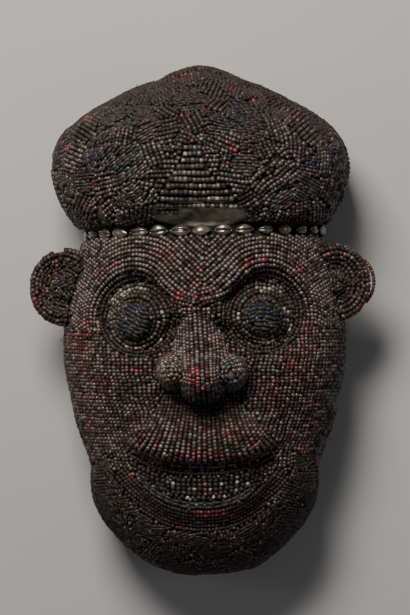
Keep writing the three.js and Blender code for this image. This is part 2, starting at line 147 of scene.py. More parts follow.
@dataclass(frozen=True)
class Eye:
    """One eye: a ball on a round boss in a shallow socket, under its brow."""

    x: float
    y: float
    side: int
    ball_x: float
    ball_y: float
    ball_radius: float = 16.5
    ball_rise: float = 9.0
    boss_radius: float = 29.0
    boss_rise: float = 9.0
    socket_radius: float = 41.0
    socket_depth: float = 6.0
    brow_underside: float = 8.5
    brow_topside: float = 30.0
    brow_rise: float = 16.0
    forehead_share: float = 0.25
    crest: Rows = (
        (-90, 54), (-20, 52), (40, 48.5), (80, 48.5), (100, 46.5), (125, 41), (150, 42), (163, 47.5),
        (172, 58), (180, 68), (200, 85), (270, 95),
    )

    def relief(self, x: Array, y: Array) -> Array:
        """The rise of the socket, boss and ball: two steps of the distance and a round hill.

        Args:
            x: Places to the right.
            y: Places towards the cap.

        Returns:
            The rise at each place.
        """
        away = np.hypot(x - self.x, y - self.y)
        socket = -self.socket_depth * (1 - ramp(self.boss_radius, self.socket_radius, away))
        boss = self.boss_rise * (1 - ramp(self.ball_radius, self.boss_radius + 2, away))
        ball_away = np.hypot(x - self.ball_x, y - self.ball_y)
        return socket + boss + self.ball_rise * hill(ball_away / self.ball_radius, 0.5)

    def past_crest(self, x: Array, y: Array) -> tuple[Array, Array]:
        """How far places lie outside the brow's crest, and their turn about the eye in degrees.

        Args:
            x: Places to the right.
            y: Places towards the cap.

        Returns:
            The distances and the turns.
        """
        outward = (x - self.x) * self.side
        up = y - self.y
        turn = np.degrees(np.arctan2(up, outward))
        turn = np.where(turn < -90, turn + 360, turn)
        return np.hypot(outward, up) - through(np.array(self.crest), turn), turn

    def brow(self, x: Array, y: Array) -> Array:
        """The rise of the brow over this eye.

        The rise falls off as a bell inside the crest, and as a wider bell outside it that keeps a
        share of its height over the forehead.

        Args:
            x: Places to the right.
            y: Places towards the cap.

        Returns:
            The rise at each place.
        """
        past, turn = self.past_crest(x, y)
        present = ramp(-20, 22, turn) * (1 - ramp(176, 192, turn))
        keep = self.forehead_share
        over = keep + (1 - keep) * bell(past / self.brow_topside)
        return self.brow_rise * present * np.where(past < 0, bell(past / self.brow_underside), over)


@dataclass(frozen=True)
class Nose:
    """A cone that broadens from the root, with a round tip between two wings."""

    root_x: float = -3.5
    tip_x: float = 1.5
    root_y: float = 12.0
    tip_y: float = -50.0
    root_half_width: float = 14.0
    base_half_width: float = 35.0
    root_rise: float = 15.0
    base_rise: float = 38.0
    tip_half_width: float = 23.0
    tip_half_height: float = 26.0
    tip_rise: float = 51.0
    wing_offset: float = 26.0
    wing_y: float = -46.0
    wing_half_width: float = 15.0
    wing_half_height: float = 17.0
    wing_rise: float = 39.0

    def along(self, y: Array) -> Array:
        """The share of the way from the root to the tip, kept between 0 and 1."""
        return np.clip((self.root_y - y) / (self.root_y - self.tip_y), 0, 1)

    def middle(self, y: Array) -> Array:
        """The nose's middle line, which leans evenly from the root to the tip."""
        return self.root_x + (self.tip_x - self.root_x) * self.along(y)

    def relief(self, x: Array, y: Array) -> Array:
        """The rise of the nose: the larger of a cone, a tip and two wings, each a round hill.

        Args:
            x: Places to the right.
            y: Places towards the cap.

        Returns:
            The rise at each place.
        """
        along = self.along(y)
        aside = x - self.middle(y)
        half = self.root_half_width + (self.base_half_width - self.root_half_width) * along**1.1
        ends = ramp(self.root_y + 12, self.root_y - 6, y) * ramp(self.tip_y - 18, self.tip_y + 4, y)
        height = self.root_rise + (self.base_rise - self.root_rise) * along**1.25
        bridge = height * ends * hill(aside / half, 0.9)
        tip = np.hypot(aside / self.tip_half_width, (y - self.tip_y) / self.tip_half_height)
        wing = np.hypot(
            (np.abs(aside) - self.wing_offset) / self.wing_half_width,
            (y - self.wing_y) / self.wing_half_height,
        )
        return blended(bridge, self.tip_rise * hill(tip, 0.6), self.wing_rise * hill(wing, 0.55))


@dataclass(frozen=True)
class Mouth:
    """A wide grin: a heavy upper lip, a bowed field of teeth and a thinner lower lip."""

    half_width: float = 68.0
    upper_y: float = -131.0
    upper_lift: float = 17.0
    lower_y: float = -166.0
    lower_lift: float = 36.0
    lip_height: float = 52.0
    lip_rise: float = 21.0
    lobe_x: float = 38.0
    lobe_y: float = -108.0
    lobe_reach: float = 22.0
    lobe_rise: float = 4.0
    teeth_rise: float = 7.0
    lower_lip_height: float = 12.0
    lower_lip_rise: float = 9.0

    def upper_edge(self, x: Array) -> Array:
        """The upper lip's lower edge, which lifts with the distance to the side to a power."""
        return self.upper_y + self.upper_lift * (np.abs(x) / self.half_width) ** 2.4

    def lower_edge(self, x: Array) -> Array:
        """The lower lip's upper edge, which lifts with the distance to the side to a power."""
        return self.lower_y + self.lower_lift * (np.abs(x) / self.half_width) ** 2.4

    def relief(self, x: Array, y: Array) -> Array:
        """The rise of the lips and the teeth, as steps and a bell across their edges.

        Args:
            x: Places to the right.
            y: Places towards the cap.

        Returns:
            The rise at each place.
        """
        upper, lower = self.upper_edge(x), self.lower_edge(x)
        sideways = np.abs(x) / self.half_width
        over = y - upper
        slope = 1 - 0.82 * ramp(9, self.lip_height, over)
        ends = ramp(-3, 7, over) * (1 - ramp(self.lip_height, self.lip_height + 18, over))
        lobe_away = np.hypot(np.abs(x) - self.lobe_x, y - self.lobe_y) / self.lobe_reach
        swell = self.lobe_rise * bell(lobe_away)
        upper_lip = (self.lip_rise * slope + swell) * ends * (1 - ramp(0.6, 1.22, sideways))
        teeth = self.teeth_rise * ramp(lower - 4, lower + 4, y) * (1 - ramp(upper - 2, upper + 8, y))
        teeth = teeth * (1 - ramp(0.5, 1, sideways))
        under = (lower - y) / self.lower_lip_height - 0.35
        lower_lip = self.lower_lip_rise * bell(under / np.where(under > 0, 1.1, 0.45))
        return blended(upper_lip, teeth, lower_lip * (1 - ramp(0.55, 1.08, sideways)))


@dataclass(frozen=True)
class Dome:
    """A dome over an outline, with a wall behind its widest line.

    In front of that line a point lies on it where the share of the outline's radius and the share
    of the rise, each to the power of the squareness, add up to 1.
    """

    x: float
    y: float
    widest: float
    rise: float
    squareness: float
    outline: Rows
    stretch: float

    def radius(self, angle: Array) -> Array:
        """The outline's radius, which mirrors from side to side."""
        climb = np.degrees(np.arcsin(np.clip(np.sin(angle), -1, 1)))
        return through(np.array(self.outline), climb)

    def taper(self, behind: Array) -> Array:
        """How the wall draws in with the depth behind the widest line."""
        return np.ones_like(behind)

    def lift(self, share: Array) -> Array:
        """How far forward the dome stands at a share of the radius, as a share of its rise."""
        return np.maximum(0, 1 - share**self.squareness) ** (1 / self.squareness)

    def carving(self, x: Array, y: Array, angle: Array, share: Array) -> Array:
        """How far the carving stands in front of the plain dome."""
        return np.zeros_like(x)

    def polar(self, x: Array, y: Array) -> tuple[Array, Array]:
        """The angle about the centre and the share of the outline's radius."""
        angle = np.arctan2(y - self.y, x - self.x)
        return angle, np.hypot(x - self.x, y - self.y) / self.radius(angle)

    def front(self, x: Array, y: Array, carved: bool = True) -> Array:
        """Points of the front at places seen from the front.

        Args:
            x: Places to the right.
            y: Places towards the cap.
            carved: Whether the carving is included.

        Returns:
            The points, with their height in front of the rim.
        """
        angle, share = self.polar(x, y)
        z = self.widest + self.rise * self.lift(np.minimum(share, 1))
        if carved:
            z = z + self.carving(x, y, angle, share)
        return joined(x, y, z)

    def shell(self, angle: Array, share: Array, behind: Array, inset: float = 0, front: float = 0) -> Array:
        """Points of the dome and its wall, or of the same form drawn in as a hollow.

        Args:
            angle: Directions about the centre.
            share: Shares of the outline's radius.
            behind: Depths behind the widest line.
            inset: How far the outline is drawn in. The carving is left out where it is not 0.
            front: How far the front is drawn in.

        Returns:
            The points.
        """
        radius = (self.radius(angle) - inset) * share * self.taper(behind)
        x = self.x + radius * np.cos(angle)
        y = self.y + radius * np.sin(angle)
        z = self.widest - behind + (self.rise - front) * self.lift(share)
        if inset == 0:
            z = z + np.where(behind > 0, 0, self.carving(x, y, angle, share))
        return joined(x, y, z)

    def level(self, points: Array) -> Array:
        """A measure that is 0 on the surface, below 0 inside it and above 0 outside it.

        Args:
            points: The points.

        Returns:
            The measure at each point.
        """
        x, y, z = points[..., 0], points[..., 1], points[..., 2]
        angle, share = self.polar(x, y)
        share = share / self.taper(np.clip(self.widest - z, 0, None))
        carving = self.carving(x, y, angle, np.minimum(share, 1))
        forward = np.clip((z - self.widest - carving) / self.rise, 0, None)
        n = self.squareness
        return 100 * ((share**n + forward**n) ** (1 / n) - 1)

    def slope(self, points: Array, step: float = 0.15) -> Array:
        """The measure's slope along X, Y and Z, by differences."""
        shifts = np.eye(3) * step
        return np.stack([self.level(points + s) - self.level(points - s) for s in shifts], -1) / (2 * step)

    def normal(self, points: Array) -> Array:
        """Directions straight out of the surface."""
        return unit(self.slope(points, 0.6))

    def project(self, points: Array, rounds: int = 5) -> Array:
        """Points moved onto the surface along the measure's slope, by Newton's steps of 6 mm at most.

        Args:
            points: The points.
            rounds: How many steps each takes.

        Returns:
            The moved points.
        """
        for _ in range(rounds):
            slope = self.slope(points)
            steep = np.maximum((slope**2).sum(-1), 0.05)
            step = slope * (self.level(points) / steep)[..., None]
            length = np.linalg.norm(step, axis=-1, keepdims=True)
            points = points - step * np.minimum(1, 6 / np.maximum(length, 1e-9))
        return points


@dataclass(frozen=True)
class Head(Dome):
    """The head: a dome with the face carved on it and a thicker beard band round the jaw."""

    x: float = 0.0
    y: float = -44.0
    widest: float = 62.0
    rise: float = 98.0
    squareness: float = 2.35
    outline: Rows = (
        (-90, 197), (-77, 195.8), (-70, 190), (-63, 182), (-56, 174), (-50, 164.5), (-45, 153),
        (-41, 142.5), (-35, 136.5), (-24, 132.5), (-12, 129.5), (0, 132), (12, 136), (30, 148),
        (47, 166), (62, 180), (90, 190),
    )
    stretch: float = 1.48
    back_taper: float = 0.05
    eyes: tuple[Eye, ...] = (Eye(-57, 4, -1, -61, 1.5), Eye(55.5, 7.5, 1, 57.5, 5.5))
    nose: Nose = Nose()
    mouth: Mouth = Mouth()
    beard_top: float = -38.0
    beard_full: float = -44.0
    beard_inner: float = 0.74
    beard_rise: float = 5.0
    swells: Rows = ((0, 66, 0.8, 50, 8), (0, -196, 0.7, 30, 4), (76, -40, 1, 36, 10), (117, 34, 1, 30, -12))

    def taper(self, behind: Array) -> Array:
        """The wall draws in by a twentieth, with the square of the depth."""
        return 1 - self.back_taper * (behind / self.widest) ** 2

    def beard_share(self, angle: Array, share: Array) -> Array:
        """How fully a place belongs to the beard, from 0 to 1."""
        climb = np.degrees(np.arcsin(np.clip(np.sin(angle), -1, 1)))
        low = 1 - ramp(self.beard_full, self.beard_top, climb)
        return low * ramp(self.beard_inner, self.beard_inner + 0.06, share)

    def bearded(self, points: Array) -> Array:
        """How fully points belong to the beard or to the wall behind it, from 0 to 1."""
        angle, share = self.polar(points[:, 0], points[:, 1])
        return self.beard_share(angle, np.where(points[:, 2] < self.widest + 1, 1, share))

    def carving(self, x: Array, y: Array, angle: Array, share: Array) -> Array:
        """The face: soft bells for the forehead, chin, cheeks and temples, and then each feature.

        Args:
            x: Places to the right.
            y: Places towards the cap.
            angle: Their angles about the centre.
            share: Their shares of the outline's radius.

        Returns:
            The rise at each place.
        """
        rise = 0.0
        for aside, up, squash, reach, height in self.swells:
            away = np.hypot((np.abs(x) - aside) * squash, y - up)
            rise = rise + height * bell(away / reach)
        brows = [eye.brow(x, y) for eye in self.eyes]
        ridge = np.maximum(*brows) + 0.2 * np.minimum(*brows)
        for eye in self.eyes:
            rise = rise + eye.relief(x, y)
        rise = rise + blended(ridge, self.nose.relief(x, y)) + self.mouth.relief(x, y)
        lift = self.lift(np.minimum(share, 1))
        return rise * ramp(0, 0.25, lift) + self.beard_rise * self.beard_share(angle, share) * lift

    def half_width(self, y: Array) -> Array:
        """The distance from the middle to the widest line at a level."""
        angle = np.linspace(-math.pi / 2, math.pi / 2, 361)
        radius = self.radius(angle)
        return np.interp(y, self.y + radius * np.sin(angle), radius * np.cos(angle))

    def section(self, y: Array, reach: Array, carved: bool = True) -> Array:
        """Points round one side at a level: reach 0 is the middle, 1 the widest line, 2 the rim.

        In front the place follows the sine of the reach, and behind it the depth grows evenly.

        Args:
            y: Levels.
            reach: How far round, with the side's sign.
            carved: Whether the carving is included.

        Returns:
            The points.
        """
        side, away = np.sign(reach), np.abs(reach)
        behind = np.clip(away - 1, 0, 1) * (self.widest - RIM_CLEARANCE)
        taper = self.taper(behind)
        width = taper * self.half_width(self.y + (y - self.y) / taper)
        x = side * width * np.sin(np.minimum(away, 1) * math.pi / 2)
        points = self.front(x, np.broadcast_to(y, x.shape), carved)
        points[..., 2] = np.where(away > 1, self.widest - behind, points[..., 2])
        return points


@dataclass(frozen=True)
class Cap(Dome):
    """The puffed cap: a fuller dome that overhangs the brow and rises to a low peak."""

    x: float = -4.0
    y: float = 148.0
    widest: float = 70.0
    rise: float = 118.0
    squareness: float = 2.2
    outline: Rows = (
        (-90, 70), (-60, 84), (-38, 118), (-29, 128), (-20, 134), (-10, 138.5), (0, 140.5), (8, 137),
        (14, 131.5), (22, 120.5), (30, 110), (38, 102), (52, 93.5), (63, 89.5), (74, 90.5), (90, 93),
    )
    stretch: float = 0.62
    back_radius: float = 150.0
    lumps: float = 1.5

    def taper(self, behind: Array) -> Array:
        """The wall draws in along an arc."""
        return np.sqrt(1 - (behind / self.back_radius) ** 2)

    def carving(self, x: Array, y: Array, angle: Array, share: Array) -> Array:
        """Soft lumps of the stuffing: two crossed pairs of waves that fade out at the wall."""
        broad = np.sin(0.11 * x + 0.9) * np.sin(0.14 * y + 0.6)
        fine = np.sin(0.17 * x - 0.2 * y + 2.0) * np.sin(0.05 * x + 0.23 * y)
        return self.lumps * (broad + 0.8 * fine) * (1 - np.minimum(share, 1) ** 4)


@dataclass(frozen=True)
class Ear:
    """A thick disc with a rolled rim, a dished face and a raised middle."""

    x: float
    y: float
    side: int
    radius: float
    z: float = 99.0
    rim: float = 7.5
    thickness: float = 14.0
    dish: float = 4.5
    conch: float = 13.0
    lean: float = 22.0

    def profile(self, inset: float = 0.0) -> Array:
        """The section from the middle of the back round the rim to the middle of the front.

        Args:
            inset: How far the skin lies under the beads' middle.

        Returns:
            Rows of radius and height.
        """
        half, inner = self.thickness / 2, self.radius - 2 * self.rim
        turn = np.radians(np.linspace(-80, 100, 13))
        roll = self.rim - inset
        arc = np.stack([self.radius - self.rim + roll * np.cos(turn), roll * np.sin(turn)], axis=1)
        back = [(0, -half + inset), (inner, -half + inset)]
        floor = half - self.dish - inset
        face = [(inner - 1, floor + 0.4), (inner - 5, floor), (self.conch, floor + 0.5)]
        middle = [(self.conch * 0.6, half + 0.5 - inset), (0, half + 1 - inset)]
        return np.array([*back, *arc, *face, *middle])

    def place(self, points: Array) -> Array:
        """Points of the ear's own frame, leant over and set beside the head."""
        return points @ turn_matrix("Y", self.side * self.lean).T + (self.x, self.y, self.z)

    def turned(self, section: Array, turn: Array) -> Array:
        """The section carried round the ear's axis, with the turn along the second direction."""
        radius, height = section[:, :1], section[:, 1:]
        return self.place(joined(radius * np.cos(turn), radius * np.sin(turn), height))

    def covers(self, points: Array) -> Array:
        """Which points lie inside the ear's disc."""
        own = (points - (self.x, self.y, self.z)) @ turn_matrix("Y", self.side * self.lean)
        flat = np.hypot(own[..., 0], own[..., 1]) < self.radius - 1
        return flat & (np.abs(own[..., 2]) < self.thickness / 2)


RIM_CLEARANCE = 2.6
CLEARANCE = 1.5
TEARS = np.array([(-94, 98.5, 3.8, 10), (29, -49, 3.6, 5.2), (-136, 65.5, 7, 2.6)], dtype=float)
HEAD = Head()
CAP = Cap()
EARS = (Ear(-130.3, 32, -1, 35.6), Ear(122.2, 36.5, 1, 35.7))


@dataclass(frozen=True)
class Crease:
    """The line under the cap where the shells lie, from one back rim over the front to the other."""

    y: float = 84.0
    tilt: float = 0.022
    half_height: float = 7.6
    seat: float = 1.5

    def line(self) -> Array:
        """The head's section at the crease, as points at even steps of arc length.

        Returns:
            The points.
        """
        reach = np.sin(np.linspace(-1, 1, 161) * math.pi / 2) * 1.999
        raw = HEAD.section(np.full(len(reach), self.y), reach)
        lengths = lengths_along(raw)
        line = points_at(np.linspace(0, lengths[-1], 1600), lengths, raw)
        line[:, 1] = self.y + self.tilt * line[:, 0]
        return line

    def frames(self, reaches: Array) -> tuple[Array, Array, Array, Array]:
        """Places on the crease, with the directions along it, towards the cap and out.

        Args:
            reaches: Lengths from the middle.

        Returns:
            The points and the three directions.
        """
        line = self.line()
        steps = np.linalg.norm(np.diff(line, axis=0), axis=1)
        lengths = lengths_along(line) - steps.sum() / 2
        along = unit(points_at(reaches, lengths, np.gradient(line, axis=0)))
        up = unit(np.array([0.0, 1.0, 0.0]) - along * along[:, 1:2])
        return points_at(reaches, lengths, line), along, up, np.cross(along, up)

    def covers(self, points: Array) -> Array:
        """Which points lie in the channel that the shells need."""
        return np.abs(points[..., 1] - self.y - self.tilt * points[..., 0]) < self.half_height


CREASE = Crease()


def uncovered(points: Array) -> Array:
    """Which points the shells and the ears leave free.

    Args:
        points: The points.

    Returns:
        True for each free point.
    """
    free = ~CREASE.covers(points)
    for ear in EARS:
        free &= ~ear.covers(points)
    return free


# Finishes


class Nodes:
    """A short way to lay out one material's nodes."""

    def __init__(self, name: str) -> None:
        """Starts a material of that name with a Principled shader.

        Args:
            name: The material's name.
        """
        self.material = bpy.data.materials.new(name)
        self.material.use_nodes = True
        self.tree = self.material.node_tree
        self.tree.nodes.clear()
        self.shader = self.add("ShaderNodeBsdfPrincipled")
        self.add("ShaderNodeOutputMaterial", Surface=self.shader.outputs[0])
        self.coordinates = self.add("ShaderNodeTexCoord").outputs["Object"]

    def join(self, value: object, target: Socket) -> None:
        """Gives a socket a plain value, or links it to the socket that is the value.

        Args:
            value: A plain value or a socket.
            target: The socket that gets it.
        """
        if isinstance(value, Socket):
            self.tree.links.new(value, target)
        else:
            target.default_value = value

    def add(self, kind: str, **values: object) -> bpy.types.Node:
        """Adds a node and sets its properties or, by name, its input sockets.

        Args:
            kind: The node's type.
            values: Properties, and input sockets with spaces written as underscores.

        Returns:
            The node.
        """
        node = self.tree.nodes.new(kind)
        for key, value in values.items():
            if hasattr(node, key):
                setattr(node, key, value)
            else:
                self.join(value, node.inputs[key.replace("_", " ")])
        return node

    def noise(self, scale: float, detail: float = 3.0, **values: object) -> Socket:
        """A noise over Object coordinates or others, with its scale in waves for each metre."""
        values = {"Roughness": 0.55, "Vector": self.coordinates} | values
        return self.add("ShaderNodeTexNoise", Scale=scale, Detail=detail, **values).outputs["Fac"]

    def tone(self) -> Socket:
        """The value that each point of the mesh holds."""
        return self.add("ShaderNodeAttribute", attribute_name="tone").outputs["Fac"]

    def ramp(self, source: Socket, *stops: tuple[float, Colour]) -> Socket:
        """A colour ramp over a value.

        Args:
            source: The value.
            stops: Places and their colours.

        Returns:
            The colour.
        """
        node = self.add("ShaderNodeValToRGB")
        while len(node.color_ramp.elements) < len(stops):
            node.color_ramp.elements.new(0.5)
        for element, (place, colour) in zip(node.color_ramp.elements, stops):
            element.position = place
            element.color = (*colour, 1)
        self.join(source, node.inputs[0])
        return node.outputs[0]

    def spread(self, source: Socket, low: float, high: float) -> Socket:
        """A value from 0.3 to 0.7 stretched to run from low to high."""
        ends = {"From_Min": 0.3, "From_Max": 0.7, "To_Min": low, "To_Max": high}
        return self.add("ShaderNodeMapRange", Value=source, **ends).outputs["Result"]

    def reckon(self, operation: str, *terms: object, clamp: bool = False) -> Socket:
        """The result of a plain operation on values or sockets.

        Args:
            operation: The operation's name.
            terms: Its values or sockets, in order.
            clamp: Whether the result is kept between 0 and 1.

        Returns:
            The result.
        """
        node = self.add("ShaderNodeMath", operation=operation, use_clamp=clamp)
        for term, target in zip(terms, node.inputs):
            self.join(term, target)
        return node.outputs[0]

    def mix(self, kind: str, factor: object, low: object, high: object) -> Socket:
        """Two colours mixed in a named way."""
        node = self.add("ShaderNodeMix", data_type="RGBA", blend_type=kind, Factor=factor, A=low, B=high)
        return node.outputs["Result"]

    def field(self, ellipse: Array) -> Socket:
        """A soft ellipse of 1 on 0 in plan, from its middle and its two half lengths in metres.

        Args:
            ellipse: The middle and the half lengths.

        Returns:
            The value.
        """
        x, y, across, up = (float(value) for value in ellipse)
        place, scale = (-x / across, -y / up, 0), (1 / across, 1 / up, 0)
        scaled = self.add("ShaderNodeMapping", Location=place, Scale=scale, Vector=self.coordinates)
        away = self.add("ShaderNodeVectorMath", operation="LENGTH")
        self.join(scaled.outputs[0], away.inputs[0])
        return self.ramp(away.outputs["Value"], (0.82, WHITE), (1.0, BLACK))

    def bump(self, height: Socket, strength: float, distance: float) -> Socket:
        """A normal that a height has bumped."""
        return self.add("ShaderNodeBump", Strength=strength, Distance=distance, Height=height).outputs[0]

    def dress(self, **values: object) -> Material:
        """Sets the shader's sockets by name, with spaces as underscores, and gives the material."""
        for key, value in values.items():
            self.join(value, self.shader.inputs[key.replace("_", " ")])
        return self.material


@dataclass(frozen=True)
class GlassFinish:
    """Old bead glass of one colour: each bead has its own tone, and the dark ones are soiled dull."""

    name: str
    deep: Colour
    bright: Colour
    grime: Colour = (0.035, 0.026, 0.02)
    smooth: float = 0.36
    worn: float = 0.56
    dulling: float = 0.2

    def material(self) -> Material:
        """The finish as a material that reads each bead's tone from the tone attribute.

        Returns:
            The material.
        """
        nodes = Nodes(self.name)
        tone = nodes.tone()
        glass = nodes.ramp(tone, (0.0, self.deep), (1.0, self.bright))
        dirt = nodes.ramp(nodes.noise(95, 5), (0.46, BLACK), (0.7, WHITE))
        rough = nodes.spread(nodes.noise(420), self.smooth, self.worn)
        duller = nodes.reckon("MULTIPLY_ADD", tone, -self.dulling, rough)
        return nodes.dress(
            Base_Color=nodes.mix("MIX", dirt, glass, (*self.grime, 1)),
            Roughness=nodes.reckon("ADD", duller, self.dulling * 0.7, clamp=True),
            Specular_IOR_Level=nodes.spread(tone, 0.24, 0.85),
            Normal=nodes.bump(nodes.noise(1500, 2), 0.25, 0.0004),
        )


@dataclass(frozen=True)
class ClothFinish:
    """Coarse cotton with a plain weave: dark under the beads, worn pale where it lies bare."""

    name: str = "dark_cotton"
    threads: float = 950.0
    bare: tuple[float, float, float, float] = (-0.002, 0.1, 0.05, 0.0125)
    tear_share: float = 0.24

    def material(self) -> Material:
        """The finish as a material: two crossed wave patterns make the weave.

        Returns:
            The material.
        """
        nodes = Nodes(self.name)
        waves = []
        for direction in ("X", "Y"):
            values = {"Scale": self.threads / 6.3, "Distortion": 1.2, "Vector": nodes.coordinates}
            waves.append(nodes.add("ShaderNodeTexWave", bands_direction=direction, **values).outputs["Fac"])
        dark = nodes.ramp(nodes.noise(60, 5), (0.3, (0.005, 0.004, 0.0035)), (0.7, (0.016, 0.012, 0.01)))
        stops = (0.34, (0.06, 0.052, 0.042)), (0.5, (0.34, 0.3, 0.24)), (0.68, (0.68, 0.58, 0.42))
        worn = nodes.ramp(nodes.noise(45, 5), *stops)
        place = nodes.field(self.bare)
        for tear in TEARS * MM:
            faint = nodes.reckon("MULTIPLY", nodes.field(tear), self.tear_share)
            place = nodes.reckon("MAXIMUM", place, faint)
        return nodes.dress(
            Base_Color=nodes.mix("MIX", place, dark, worn),
            Roughness=0.9,
            Specular_IOR_Level=0.2,
            Sheen_Weight=0.06,
            Sheen_Roughness=0.5,
            Normal=nodes.bump(nodes.reckon("MULTIPLY", *waves), 0.5, 0.0006),
        )


@dataclass(frozen=True)
class WoodFinish:
    """Dry, dusty carved wood with its grain from the chin to the cap."""

    name: str = "carved_wood"

    def material(self) -> Material:
        """The finish as a material: noise stretched along the grain, over broad stains.

        Returns:
            The material.
        """
        nodes = Nodes(self.name)
        stretch = nodes.add("ShaderNodeMapping", Scale=(1, 0.07, 1), Vector=nodes.coordinates)
        grain = nodes.noise(230, 6, Roughness=0.62, Vector=stretch.outputs[0])
        stops = (0.3, (0.05, 0.028, 0.015)), (0.52, (0.15, 0.088, 0.048)), (0.74, (0.25, 0.16, 0.09))
        stain = nodes.ramp(nodes.noise(14, 4), (0.35, (0.35, 0.3, 0.26)), (0.65, WHITE))
        return nodes.dress(
            Base_Color=nodes.mix("MULTIPLY", 0.85, nodes.ramp(grain, *stops), stain),
            Roughness=nodes.spread(grain, 0.62, 0.85),
            Normal=nodes.bump(grain, 0.35, 0.0007),
        )


@dataclass(frozen=True)
class ShellFinish:
    """Cowrie shell polished by handling, darkened in its slit and between its teeth as painted shade."""

    name: str = "dark_cowrie"
    tones: tuple[tuple[float, Colour], ...] = (
        (0.0, (0.004, 0.0035, 0.003)), (0.3, (0.02, 0.016, 0.012)),
        (0.62, (0.05, 0.041, 0.031)), (1.0, (0.11, 0.092, 0.07)),
    )

    def material(self) -> Material:
        """The finish as a material: the tone attribute runs from the slit, dark with painted shade, to the
        back.

        Returns:
            The material.
        """
        nodes = Nodes(self.name)
        stain = nodes.ramp(nodes.noise(170, 4), (0.38, (0.3, 0.24, 0.19)), (0.66, WHITE))
        return nodes.dress(
            Base_Color=nodes.mix("MULTIPLY", 0.8, nodes.ramp(nodes.tone(), *self.tones), stain),
            Roughness=nodes.spread(nodes.noise(300, 2), 0.2, 0.38),
            Specular_IOR_Level=0.8,
            Coat_Weight=0.8,
            Coat_Roughness=0.12,
        )


@dataclass(frozen=True)
class MattFinish:
    """Matt stuff of one colour, mottled with a darker shade of it."""

    name: str
    colour: Colour
    shade: float
    scale: float
    edges: tuple[float, float]
    roughness: float

    def material(self) -> Material:
        """The finish as a material: a noise runs from the shade to the colour between two edges.

        Returns:
            The material.
        """
        nodes = Nodes(self.name)
        dark = tuple(part * self.shade for part in self.colour)
        stops = zip(self.edges, (dark, self.colour))
        return nodes.dress(Base_Color=nodes.ramp(nodes.noise(self.scale), *stops), Roughness=self.roughness)


THREAD = MattFinish("cotton_thread", (0.16, 0.12, 0.085), 0.5, 300, (0.35, 0.65), 0.8)
FLOOR = MattFinish("pale_floor", (0.42, 0.41, 0.4), 0.97, 3, (0.3, 0.7), 0.85)


# Meshes


def mesh_object(
    name: str, points: Array, faces: Array | list[Array], materials: list[Material],
    material_index: Array | None = None, tone: Array | None = None,
) -> Piece:
    """Makes a smooth object from whole arrays.

    Args:
        name: The piece's name.
        points: Its points in millimetres.
        faces: One row of corners for each face, or a list of such tables.
        materials: Its materials.
        material_index: The material of each face.
        tone: A value for each point, kept as the tone attribute.

    Returns:
        The object, at the origin, with its place in its mesh.
    """
    tables = faces if isinstance(faces, list) else [faces]
    totals = np.concatenate([np.full(len(t), t.shape[1]) for t in tables])
    corners = np.concatenate([t.ravel() for t in tables]).astype(np.int32)
    starts = np.concatenate([[0], np.cumsum(totals)[:-1]]).astype(np.int32)
    mesh = bpy.data.meshes.new(name)
    mesh.vertices.add(len(points))
    mesh.vertices.foreach_set("co", (points * MM).astype(np.float32).ravel())
    mesh.loops.add(len(corners))
    mesh.loops.foreach_set("vertex_index", corners)
    mesh.polygons.add(len(totals))
    mesh.polygons.foreach_set("loop_start", starts)
    mesh.polygons.foreach_set("use_smooth", np.ones(len(totals), dtype=bool))
    for material in materials:
        mesh.materials.append(material)
    if material_index is not None:
        mesh.polygons.foreach_set("material_index", material_index.astype(np.int32))
    mesh.update(calc_edges=True)
    if tone is not None:
        values = mesh.attributes.new("tone", "FLOAT", "POINT")
        values.data.foreach_set("value", tone.astype(np.float32))
    piece = bpy.data.objects.new(name, mesh)
    bpy.context.scene.collection.objects.link(piece)
    return piece


def lattice(rows: int, columns: int, wrap: bool, start: int = 0) -> Array:
    """The four-cornered faces of a grid whose points are stored row by row.

    Args:
        rows: How many rows of points.
        columns: How many points in a row.
        wrap: Whether each row closes on itself.
        start: The first point's number.

    Returns:
        One row of four corners for each face.
    """
    i, j = np.meshgrid(np.arange(rows - 1), np.arange(columns if wrap else columns - 1), indexing="ij")
    a = start + i * columns + j
    b = start + i * columns + (j + 1) % columns
    return np.stack([a, b, b + columns, a + columns], axis=-1).reshape(-1, 4)


def closed_tube(rings: Array) -> tuple[Array, Array]:
    """A closed skin through rings of points that grow from one pole to the other.

    Args:
        rings: Points as rows of rings, each ring anticlockwise seen from the last ring's side.

    Returns:
        The points, with two poles at the end, and the faces with a doubled corner at the poles.
    """
    count, around = rings.shape[:2]
    points = np.concatenate([rings.reshape(-1, 3), rings[0].mean(0)[None], rings[-1].mean(0)[None]])
    walls = lattice(count, around, True)
    j = np.arange(around)
    first = np.stack([np.full(around, count * around), (j + 1) % around, j], axis=1)
    base = (count - 1) * around
    last = np.stack([np.full(around, count * around + 1), base + j, base + (j + 1) % around], axis=1)
    return points, [walls, first, last]


